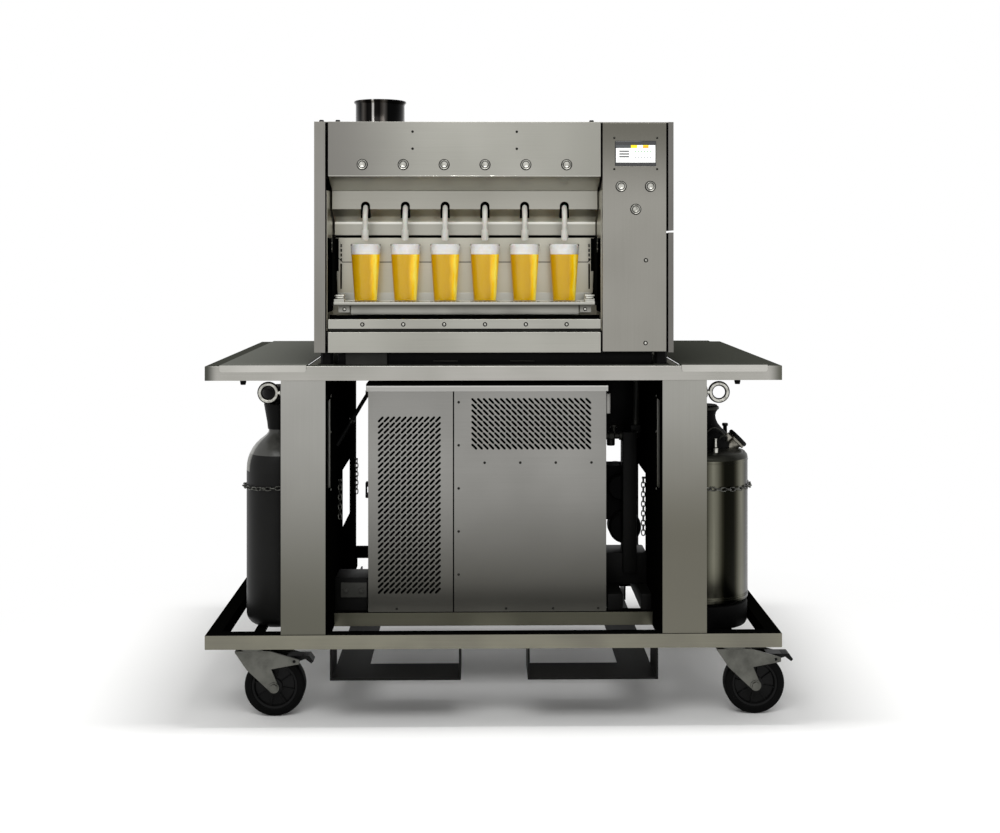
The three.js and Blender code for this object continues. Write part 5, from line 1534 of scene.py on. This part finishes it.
@dataclass
class SupplyDress:
    """The gas bottle and keg with their fittings and chains.

    Attributes:
        bottle_radius: Radius of the gas bottle.
        keg_radius: Radius of the keg.
        chain_z: Height of the chains that hold them.
        chain_gap: How far a chain's centre line stands off the wall.
        spare_ends: Name, X, Y, top and foot of each chain's spare end.
    """

    bottle_radius: float = 82
    keg_radius: float = 108
    chain_z: float = 554
    chain_gap: float = 6
    spare_ends: tuple[tuple[str, float, float, float, float], ...] = (
        ("left_front", -404, -125, 549, 446),
        ("left_rear", -404, 315, 531, 427),
        ("right", 403.5, -74, 544, 387),
    )

    def gas_bottle(self) -> None:
        """Turns the bottle in two coats, its guard, valve and hand wheel."""
        turns = [i * math.pi / 16 for i in range(9)]
        profile = [(0, 195.3)] + [(52 + 30 * math.sin(a), 225.3 - 30 * math.cos(a)) for a in turns]
        profile += [
            (82, 590), (81, 606), (78.5, 619), (73.5, 633), (66.5, 646), (58, 657), (48, 666.5), (39, 673.5),
            (31, 680), (26.5, 686), (26, 694), (0, 694),
        ]
        body = Shape.lathe(profile, BOTTLE, 96)
        for face in body.faces:
            height = face.calc_center_median().z
            if height > 591:
                face.material_index = 1 if height > 633 else 2
        place_piece("bottle_body", body, BOTTLE_ENAMEL, STAND, ["gas_bottle"], [SHOULDER_ENAMEL, DOME_ENAMEL])
        guard = [
            (24, 694.3), (28, 694.3), (30, 712), (37, 752), (38, 758), (37, 760.3), (34, 760.3), (32.5, 752), (26, 712),
        ]
        place_piece("bottle_guard", Shape.lathe(guard, BOTTLE, 64), POWDER_BLACK, STAND, ["gas_valve_guard"])
        stem = Shape.lathe([(0, 694), (13, 694), (13, 700), (10, 703), (10, 736), (0, 736)], BOTTLE, 32)
        outlet = Shape.lathe([(0, -24), (7, -24), (8, -20), (8, 0), (0, 0)], (*BOTTLE, 718), 24, Axis.Y)
        place_piece("bottle_valve", [stem, outlet], FITTING)
        wheel = [
            (0, 736), (9, 736), (9, 762), (34, 766), (44, 774), (46, 786), (44, 798), (34, 804), (18, 807), (0, 807.5),
        ]
        place_piece("bottle_handwheel", Shape.lathe(wheel, BOTTLE, 40), NYLON)

    def keg_body(self) -> None:
        """Turns the keg's wall with its shoulder seam and dome, its rubber boot and its welds."""
        profile = [
            (0, 256.6), (98, 256.6), (104, 258.5), (108, 264.6), (108, 622), (106.5, 628), (103, 632), (101, 634.5),
            (98.5, 632.6), (96.5, 634.8), (94, 636.5), (80, 641), (60, 645.5), (40, 648), (0, 650),
        ]
        shell = Shape.lathe(profile, KEG, 96)
        for face in shell.faces:
            if face.calc_center_median().z > 623:
                face.material_index = 1
        place_piece("keg_wall", shell, KEG_STEEL, STAND, ["keg"], [KEG_DOME_SHADED])
        boot = [
            (0, 195.3), (96, 195.3), (103, 197.5), (106, 203), (107, 246), (105.5, 254), (102, 256.3), (0, 256.3),
        ]
        place_piece("keg_foot", Shape.lathe(boot, KEG, 96), RUBBER, STAND, ["keg_boot"])
        weld = [(107.6, -1.6), (108.8, -0.8), (108.8, 0.8), (107.6, 1.6)]
        place_piece("keg_welds", [Shape.lathe(weld, (*KEG, z), 96) for z in (272, 276.5, 616)], KEG_STEEL)

    def keg_head(self) -> None:
        """Builds the coupler under its rubber hood, the posts and the knob."""
        x, y = KEG
        hood = [
            (0, 642), (61, 644), (62, 650), (59, 674), (52, 684), (41, 694), (31.5, 706), (27, 716), (25.5, 726),
            (27.5, 735), (32.5, 742), (34, 746), (32, 750), (29, 753.5), (0, 754),
        ]
        place_piece("keg_coupler_hood", Shape.lathe(hood, KEG), RUBBER)
        collar = [(31, 741.5), (34.4, 742.5), (35.2, 746), (34.2, 749), (31, 750)]
        clips = [Shape.lathe(collar, KEG)]
        for route, radius in (
            (((-6, -56, 690), (12, -50, 700), (34, -40, 688), (50, -34, 668)), 2.2),
            (((26, -52, 672), (34, -54, 680), (46, -50, 676), (44, -46, 664)), 2.6),
        ):
            clips.append(Shape.tube([(x + across, y + back, z) for across, back, z in route], radius, 10))
        place_piece("keg_coupler_clips", clips, DARK_STEEL)
        post = [(0, 638), (9, 638), (9, 652), (5.2, 654), (4.8, 670), (5.6, 672), (5.6, 676), (0, 676)]
        places = [(x + a * self.keg_radius, y + b * self.keg_radius) for a, b in ((0.12, -0.66), (0.53, 0.28))]
        place_piece("keg_posts", [Shape.lathe(post, place, 28) for place in places], POLISHED)
        knob = [(0, 674), (6, 674), (5.4, 684), (5.2, 692), (7.6, 695), (8, 699), (6.8, 701), (0, 701.2)]
        place_piece("keg_knob", Shape.lathe(knob, (x + 57, y + 30), 28), NYLON)

    def keg_hatch(self) -> None:
        """Builds the slanted filling hatch: neck, silver clamp and ribbed black cap."""
        lean = placed((KEG[0] + 84, KEG[1], 666), QUARTER / 2, "Y")
        neck = [(0, -40), (20, -40), (20, -12), (24, -9), (24.5, -6.5), (0, -6.5)]
        clamp = [(24, -12), (26.4, -11), (27, -8), (26.4, -5.4), (24, -4.6)]
        parts = [Shape.lathe(profile, (0, 0)) for profile in (neck, clamp)]
        parts.append(Shape.block((-34, -30, -30), (-18, -12, -10), 1.6))
        place_piece("keg_hatch_neck", Shape.moved(Shape.joined(parts), lean), FITTING)
        cap = [(0, -4.4), (26.2, -4.4), (27.2, -2), (27.2, 3.4), (25.6, 5.6), (20, 6), (18, 4.4), (0, 4.8)]
        rib = Shape.block((26.6, -1.2, -3), (27.9, 1.2, 3.2), 0.4, 1)
        ribs = Shape.copies(rib, [Matrix.Rotation(math.pi / 12 * i, 4, "Z") for i in range(24)])
        place_piece("keg_hatch_cap", Shape.moved(Shape.joined([Shape.lathe(cap, (0, 0)), ribs]), lean), NYLON)

    def chains(self) -> None:
        """Loops the holding chains and hangs the spare ends at the windows."""
        for name, (x, y), wall in (("bottle", BOTTLE, self.bottle_radius), ("keg", KEG, self.keg_radius)):
            radius = wall + self.chain_gap
            loop = []
            for i in range(29):
                angle = math.radians(-120 + 240 * i / 28)
                out = math.copysign(radius, x) * math.cos(angle)
                loop.append((x + out, y + radius * math.sin(angle), self.chain_z - 5 * math.cos(angle)))
            Chain().lay(f"{name}_chain", loop)
        for name, x, y, top, foot in self.spare_ends:
            Chain(1.6, 8, 4.4).lay(f"spare_chain_{name}", [(x, y, top), (x, y, foot)])
            peg = Shape.lathe(rod(3, 0, 9), (0, 0), 16, Axis.X)
            turn = placed((math.copysign(WALL, x), y, top), math.pi if x > 0 else 0)
            place_piece(f"chain_peg_{name}", Shape.moved(peg, turn), ZINC)

    def build(self) -> None:
        """Dresses the supply."""
        self.gas_bottle()
        self.keg_body()
        self.keg_head()
        self.keg_hatch()
        self.chains()


@dataclass
class PlumbingDress:
    """The dark units beside the cooler and under the pan, with the hoses that run to them.

    Attributes:
        gas_mm: Diameter of the hose from the cooler's side to the left leg.
        gas_route: Plan places of its centre line.
        drain_mm: Diameter of the hose down from the machine's pan.
        drain_route: Plan places of its centre line.
    """

    gas_mm: float = 10.5
    gas_route: tuple[Point, ...] = (
        (-331, -121, 776), (-338, -122.5, 765), (-349, -125.5, 747), (-361, -130, 726), (-373, -136, 706),
        (-384, -143, 687), (-394, -150, 670), (-402, -155.5, 657), (-408.5, -160, 646),
    )
    drain_mm: float = 17
    drain_route: tuple[Point, ...] = (
        (382, -100, 905), (382, -100, 880), (382.2, -99, 850), (382.6, -97, 820), (382.8, -94.5, 790),
        (382.6, -92, 760), (382, -90.5, 730), (381.4, -90, 705), (381, -90, 688),
    )

    def hoses(self) -> None:
        """Runs the two hoses."""
        Hose("gas_hose", self.gas_route, self.gas_mm, HOSE_BLACK).build()
        Hose("drain_hose", self.drain_route, self.drain_mm, HOSE_GREY).build()

    def clamps(self) -> None:
        """Puts the fittings at the hoses' ends."""
        elbow = Shape.block((-337, -128.5, 771), (-322.3, -113.5, 787), 3.5, 3)
        clip = Shape.lathe([(5.3, -4), (7.6, -4), (7.6, 4), (5.3, 4)], (0, 0), 24)
        place_piece("gas_hose_clip", [elbow, Shape.moved(clip, placed(self.gas_route[4], 0.52, "Y"))], DARK_STEEL)
        cuff = Shape.lathe([(8.6, 690), (11, 690), (11, 700), (8.6, 700)], (381.2, -90), 28)
        flange = Shape.lathe([(8.6, 893), (13, 893), (14, 904), (8.6, 904)], (382, -100), 28)
        place_piece("drain_hose_cuffs", [cuff, flange], DARK_STEEL)

    def valve(self) -> None:
        """Builds the inlet valve on the cooler's right side."""
        seat = (290.2, -104, 662)
        body = [
            (0, 0), (17, 0), (17, 6), (11, 8), (11, 16), (15, 18), (15, 30), (9, 33), (9, 44), (12, 45), (12, 52),
            (8, 54), (8, 62), (0, 62),
        ]
        stem = [(0, 668), (8, 668), (8, 684), (14, 686), (14, 692), (0, 693)]
        drop = [(0, 636), (10, 636), (11, 640), (11, 656), (0, 656)]
        parts = [Shape.lathe(body, seat, 32, Axis.X), Shape.lathe(stem, (321, -104), 28)]
        place_piece("inlet_valve", parts + [Shape.lathe(drop, (313, -104), 28)], DARK_STEEL)
        tip = [(5, 62), (9, 62), (10, 66), (9, 72), (5, 72)]
        place_piece("inlet_valve_tip", Shape.lathe(tip, seat, 28, Axis.X), FITTING)

    def right_units(self) -> None:
        """Stands the pump and its boxes between the cooler and the right leg."""
        edge = WALL - 0.4
        parts = [
            Shape.block(low, high, round_mm)
            for low, high, round_mm in (
                ((300, 30, 634), (edge, 210, 839.8), 4),
                ((343, -124, 300), (380, -66, 674), 3),
                ((366, -106, 670), (393, -74, 690.5), 3),
                ((292, -112, 268), (edge, -20, 352), 4),
                ((294, -206, BEAM_TOP), (334, 186, 268.5), 3),
                ((381, -206, BEAM_TOP), (edge, 186, 268.5), 3),
            )
        ]
        place_piece("pump_boxes", parts, POWDER_BLACK)
        motor = [
            (0, -70), (30, -70), (34, -66), (34, -40), (46, -36), (48, -30), (48, 70), (44, 76), (0, 76),
        ]
        head = [(0, -60), (38, -60), (44, -54), (44, -10), (40, 0), (0, 0)]
        parts = [Shape.lathe(motor, (341, -20, 520), 48, Axis.Y), Shape.lathe(head, (354, -20, 412), 48, Axis.Y)]
        for y in [-64 + 9 * i for i in range(8)]:
            parts.append(Shape.block((292.5, y, 430), (352, y + 5, 575), 1, 1))
        place_piece("pump_motor", parts, RUBBER)

    def left_units(self) -> None:
        """Stands the drain box at the foot of the left leg."""
        shell = Shape.block((-WALL + 0.4, -204, BEAM_TOP), (-323.6, -112, 312), 3)
        place_piece("drain_box", shell, POWDER_BLACK)
        parts = [Shape.block((-393, -207, 262), (-326, -203, 300), 1.5)]
        knob = [(0, -6), (5, -6), (6, 0), (0, 0)]
        parts += [Shape.lathe(knob, (x, -206.5, 281), 20, Axis.Y) for x in (-380, -340)]
        place_piece("drain_box_front", parts, BOX_GREY)

    def under_tray(self) -> None:
        """Hangs the dark tray, the connection box and the clips under the machine's pan."""
        place_piece("under_tray", Shape.block((-386, -334, 866), (393, 150, 904.8), 3), POWDER_BLACK)
        place_piece("connection_box", Shape.block((-366, -343, 873), (-264, -333.5, 903), 2), BOX_GREY)
        place_piece("tray_clips", Shape.row((-150, 40), (0, -339, 880), (60, -333.5, 883), 0.8), DARK_STEEL)

    def build(self) -> None:
        """Builds the hoses first, then what they run to."""
        self.hoses()
        self.clamps()
        self.valve()
        self.right_units()
        self.left_units()
        self.under_tray()


@dataclass
class MachineDress:
    """The filling machine's housing, head, niche and column.

    Attributes:
        tap_buttons: Plan X and height of the tap buttons.
        side_buttons: Plan X and height of the column's buttons.
        screen_mm: Left, right, lower and upper edge of the touch screen.
        niche_back: Plan Y of the niche's back.
    """

    tap_buttons: tuple[tuple[float, float], ...] = tuple((x, 1365) for x in TAPS)
    side_buttons: tuple[tuple[float, float], ...] = ((311, 1312), (383, 1312), (347, 1256))
    screen_mm: tuple[float, float, float, float] = (296.5, 396.5, 1362, 1423)
    niche_back: float = -225

    def buttons(self) -> None:
        """Turns polished push buttons with dished caps, and smooth collars over their holes."""
        cap = [
            (0, -2.9), (4.6, -3.2), (6, -4), (7.2, -4), (8.4, -2.8), (8.4, 2.3), (10.4, 2.3), (10.4, 4.3), (6.9, 4.3),
            (6.9, 19.8), (0, 19.8),
        ]
        ring = [(8.75, 0.2), (8.75, -2.2), (9.6, -3.3), (10.8, -3.6), (12.6, -2.6), (13.6, -0.8), (13.6, 0.2)]
        groups = (("tap", self.tap_buttons), ("side", self.side_buttons))
        for kind, places in groups:
            for i, (x, z) in enumerate(places):
                name = f"{kind}_button_{i + 1}"
                place_piece(f"{name}_cap", Shape.lathe(cap, (x, FACE, z), 48, Axis.Y), POLISHED, name, [name])
        for kind, places in groups:
            place_piece(f"{kind}_bezels", [Shape.lathe(ring, (x, FACE, z), 48, Axis.Y) for x, z in places], POLISHED)

    def patch(self, u0: float, u1: float, v0: float, v1: float, lift: float = 0.14) -> BMesh:
        """A thin patch on the screen's glass.

        Args:
            u0: Share of the screen's width where it starts.
            u1: Share where it ends.
            v0: Share of the screen's height, from the top, where it starts.
            v1: Share where it ends.
            lift: How far it stands off the glass.

        Returns:
            The shape.
        """
        left, right, low, high = self.screen_mm
        glass = FACE - 0.8
        across = [left + (right - left) * share for share in (u0, u1)]
        up = [high - (high - low) * share for share in (v1, v0)]
        return Shape.block((across[0], glass - lift, up[0]), (across[1], glass + 0.05, up[1]))

    def screen(self) -> None:
        """Fits the screen's glass and its plain page of bars and marks."""
        left, right, low, high = self.screen_mm
        glass = Shape.block((left, FACE - 0.8, low), (right, FACE + 11.2, high), 0.8)
        place_piece("screen_glass", glass, SCREEN_GLASS, STAND, ["touch_screen"])
        place_piece("screen_page", self.patch(0.02, 0.985, 0.16, 0.86, 0.08), SCREEN_PAGE)
        bars = [self.patch(0.02, 0.385, 0.16, 0.28)] + [self.patch(0.1, 0.34, v, v + 0.055) for v in (0.38, 0.49, 0.6)]
        place_piece("screen_bars", bars, SCREEN_BAR)
        yellow = [self.patch(0.385, 0.54, 0.16, 0.28), self.patch(0.68, 0.82, 0.16, 0.2)]
        place_piece("screen_yellow", yellow, SCREEN_YELLOW)
        place_piece("screen_orange", self.patch(0.68, 0.82, 0.2, 0.28), SCREEN_ORANGE)
        columns = [0.074 * i for i in range(6)]
        place_piece("screen_dots", [self.patch(0.485 + u, 0.51 + u, 0.39, 0.43) for u in columns], SCREEN_GREEN)
        place_piece("screen_marks", [self.patch(0.478 + u, 0.517 + u, 0.62, 0.7) for u in columns], SCREEN_SILVER)

    def niche(self) -> None:
        """Draws painted shade in the niche's gaps, folds and hose slots and on its walls, and adds its pivot plates."""
        back = self.niche_back
        # Black sheets: painted shade in the niche's gaps and on its walls.
        shade_sheets = Shape.row((-410.6, 263.1), (0, -340, 1002), (0.5, -229, 1186))
        shade_sheets.append(Shape.block((-405, -346, 960), (260, -344.5, 995.8)))
        shade_sheets += Shape.row((-410.6, 249.1), (0, back - 0.9, 1002), (14.5, back - 0.1, 1186))
        shade_sheets += Shape.row((-395, 235), (0, -221.8, 1030), (15, -221, 1165))
        place_piece("niche_shade_sheets", shade_sheets, DEEP_BLACK)
        # Dark lines: painted shade along the folds and under the cover.
        lines = [Shape.block((-386, back - 0.5, 1124), (241, back + 0.1, 1126))]
        lines.append(Shape.block((-405, back - 0.7, 1187), (260, back + 0.1, 1192.6)))
        for x, lean in ((-391.4, -1), (246.4, 1)):
            bend = Shape.block((-8, back - 0.5, -1), (8, back + 0.1, 1))
            lines.append(Shape.moved(bend, placed((x, 0, 1130), -lean * QUARTER / 2, "Y")))
        place_piece("niche_crease_shade", lines, DEEP_BLACK)
        # Black patches: painted shade inside the hose slots.
        slots = []
        for x in TAPS:
            slots.append(Shape.block((x - 12, -281.9, 1236), (x + 12, -281.6, 1268)))
            slots.append(Shape.lathe(rod(12, 0, 0.3), (x, -281.9, 1268), 32, Axis.Y))
        place_piece("hose_slots", slots, DEEP_BLACK)
        plates = [Shape.block((x, -318, 1150), (x + 3, -306, 1186), 0.6, 1) for x in (-404.6, 256.6)]
        place_piece("pivot_plates", plates, DARK_STEEL)
        screws("pivot_bolts", [(x, -318, z) for x in (-403.1, 258.1) for z in (1158.5, 1173.5)], 1.6, FITTING)

    def trim(self) -> None:
        """Puts on the screws, washers, painted highlight along the fascia, roof caps and counter tabs."""
        plate = [(x, FACE, z) for x in (-199.7, 55.3) for z in (1445.7, 1404)]
        screws("fascia_screws", plate, 3.2, DARK_STEEL)
        corners = [(x, FACE, z) for z in (1430.8, 1354.4) for x in (294.3, 399.5)]
        screws("column_screws_small", corners, 2.8, DARK_STEEL)
        # A thin strip of painted highlight along the fascia's lower edge.
        edge = Shape.block((-405.4, FACE - 0.5, 1336.4), (260.4, FACE + 0.2, 1337.8), 0.2, 1)
        place_piece("fascia_edge_highlight", edge, BRIGHT_EDGE)
        column = [(372, FACE, 1131), (371, FACE, 928)]
        rail = [(x, -368, 974) for x in TAPS]
        screws("column_screws", column, 4)
        screws("trim_screws", rail, 4)
        washer = [(3.8, 0.2), (3.8, -0.5), (5.2, -0.5), (5.6, 0.2)]
        place_piece("screw_washers", [Shape.lathe(washer, p, 24, Axis.Y) for p in column + rail], DEEP_BLACK)
        cap = [(0, 1470.2), (6, 1470.2), (6, 1473.5), (4.6, 1475.5), (0, 1475.5)]
        place_piece("roof_caps", [Shape.lathe(cap, (x, -352), 28) for x in (-424, -384, 240)], NYLON)
        place_piece("counter_tabs", Shape.row((-243.6, 271.6), (0, -366, 866), (30, -344, 869), 0.8), TUBE_STEEL)

    def build(self) -> None:
        """Dresses the machine."""
        for node, finish, edge_mm in (
            ("roof_and_back", SHEET_CASING, 0.5),
            ("side_panel_left", SHEET_CASING, 0.5),
            ("side_panel_right_upper", CASING_RIGHT_SHADED, 0.5),
            ("side_panel_right_lower", CASING_RIGHT_SHADED, 0.5),
            ("upper_fascia", SHEET_HEAD, 0.6),
            ("spout_cover", SHEET_COVER, 0.5),
            ("niche_back", NICHE_STEEL, 0.4),
            ("lower_fascia", SHEET_ACROSS, 0.6),
            ("trim_rail", SHEET_ACROSS, 0.6),
            ("control_panel", SHEET_UPRIGHT, 0.6),
            ("drip_tray", DARK_STEEL, 0.5),
            ("base_pan", POWDER_BLACK, 0.6),
        ):
            dress_node(node, finish, edge_mm)
        self.buttons()
        self.screen()
        self.niche()
        self.trim()


@dataclass
class SpoutDress:
    """Six milky hoses, each through its slot to a rounded nozzle.

    Attributes:
        curve: Plan Y and height of points on a hose's centre line, from the pipe to the nozzle.
        hose_radius: Radius of a hose.
        pipe_radius: Radius of the pipe that feeds them.
        pipe_ends: Where the pipe starts and ends, from the first tap.
    """

    curve: tuple[Point, ...] = ((-239.5, 1306), (-259, 1280), (-283, 1259), (-293.4, 1238), (-294, 1204))
    hose_radius: float = 6.6
    pipe_radius: float = 10.5
    pipe_ends: tuple[float, float] = (-20, 520)

    def build(self) -> None:
        """Makes the spouts, their nozzles and the pipe that feeds them."""
        nozzle = [
            (0, 1179), (4.6, 1179), (4.6, 1190), (5.2, 1190), (5.2, 1179.6), (7.4, 1180.6), (8.8, 1184),
            (8.8, 1204.5), (8.2, 1207), (0, 1207),
        ]
        shapes = []
        for x in TAPS:
            shapes.append(Shape.tube([(x, y, z) for y, z in self.curve], self.hose_radius, 20))
            shapes.append(Shape.lathe(nozzle, (x, self.curve[-1][0]), 32))
        pipe = rod(self.pipe_radius, *self.pipe_ends)
        shapes.append(Shape.lathe(pipe, (TAPS[0], *self.curve[0]), 32, Axis.X))
        place_piece("spouts", shapes, SILICONE, STAND, ["spout_manifold"])


@dataclass
class RackDress:
    """The tilting rack's trim and the filled cups on it.

    Attributes:
        cup_y: Plan Y of the cups' axes.
        base_z: Height of their feet.
    """

    cup_y: float = -277
    base_z: float = 1027.3

    def cup(self, number: int, x: float) -> None:
        """One cup with its beer and foam.

        Args:
            number: Which tap it stands under.
            x: Plan X of its axis.
        """
        axis = (x, self.cup_y, self.base_z)
        shell = [
            (0, 0), (25.5, 0), (27.6, 0.8), (28.2, 3), (37.4, 137), (38, 140), (38, 143.2), (37.2, 144),
            (36.4, 143.2), (36.2, 138), (27, 6), (25.8, 3.6), (0, 3.2),
        ]
        beer = [(0, 3), (26, 3.2), (27.4, 6), (35.1, 117), (35.1, 118), (0, 118)]
        foam = [(0, 118.05), (35.1, 118.05), (36.5, 138), (35.4, 141), (30, 143.2), (18, 143.9), (0, 143.7)]
        place_piece(f"cup_shell_{number}", Shape.lathe(shell, axis, 64), CUP_PLASTIC, RACK, [f"cup_{number}"])
        place_piece(f"beer_{number}", Shape.lathe(beer, axis, 64), BEER, RACK)
        place_piece(f"foam_{number}", Shape.lathe(foam, axis, 64), FOAM, RACK)

    def build(self) -> None:
        """Dresses the rack and fills it."""
        dress_node("tilting_rack", RACK_STEEL, 0.5)
        for i, x in enumerate(TAPS):
            self.cup(i + 1, x)
        screws("rack_screws", [(-373, -305, 1008), (228, -305, 1008)], 5, POLISHED, RACK)
        pads = []
        for i, inset in enumerate((0, 3, 1)):
            low, high = (inset, inset - 316, 1031 + 5 * i), (26 - inset, -290, 1034.4 + 5 * i)
            pads += Shape.row((-397.5, 226), low, high, 0.8)
        place_piece("rack_pads", pads, BRIGHT_EDGE, RACK)
        starts = [x + 11 * i for x in TAPS for i in range(-3, 4)]
        marks = [
            mark for y in (-320, -313) for mark in Shape.row(starts, (-3.5, y, 1027.1), (3.5, y + 3, 1027.5))
        ]
        place_piece("rack_marks", marks, DEEP_BLACK, RACK)


@dataclass
class DuctDress:
    """The dark collar on the roof.

    Attributes:
        profile: Radius and height of points on its flange, wall and rolled mouth.
    """

    profile: tuple[Point, ...] = (
        (60.5, 1470.3), (75, 1470.3), (75.5, 1471.3), (75, 1472.3), (64.5, 1472.3), (62.7, 1474.5), (62.5, 1526),
        (63.5, 1530), (66.5, 1533), (67, 1535.2), (66.2, 1536.8), (64.8, 1536.9), (61.6, 1532), (60.5, 1527),
    )

    def build(self) -> None:
        """Turns the collar."""
        place_piece("duct_tube", Shape.lathe(self.profile, COLLAR, 96), COLLAR_STEEL, STAND, ["duct_collar"])


def main() -> None:
    """Builds the studio and dresses each sub-assembly in turn."""
    logging.basicConfig(level=logging.INFO, format="%(name)s: %(message)s")
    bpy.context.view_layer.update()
    Studio().build()
    PlumbingDress().build()
    CounterDress().build()
    CartDress().build()
    for depth, y in (("front", -305), ("rear", 305)):
        for side, x in (("left", -597), ("right", 597)):
            Caster(f"{depth}_{side}", x, y).build()
    CoolerDress().build()
    SupplyDress().build()
    MachineDress().build()
    SpoutDress().build()
    RackDress().build()
    DuctDress().build()


if __name__ == "__main__":
    main()
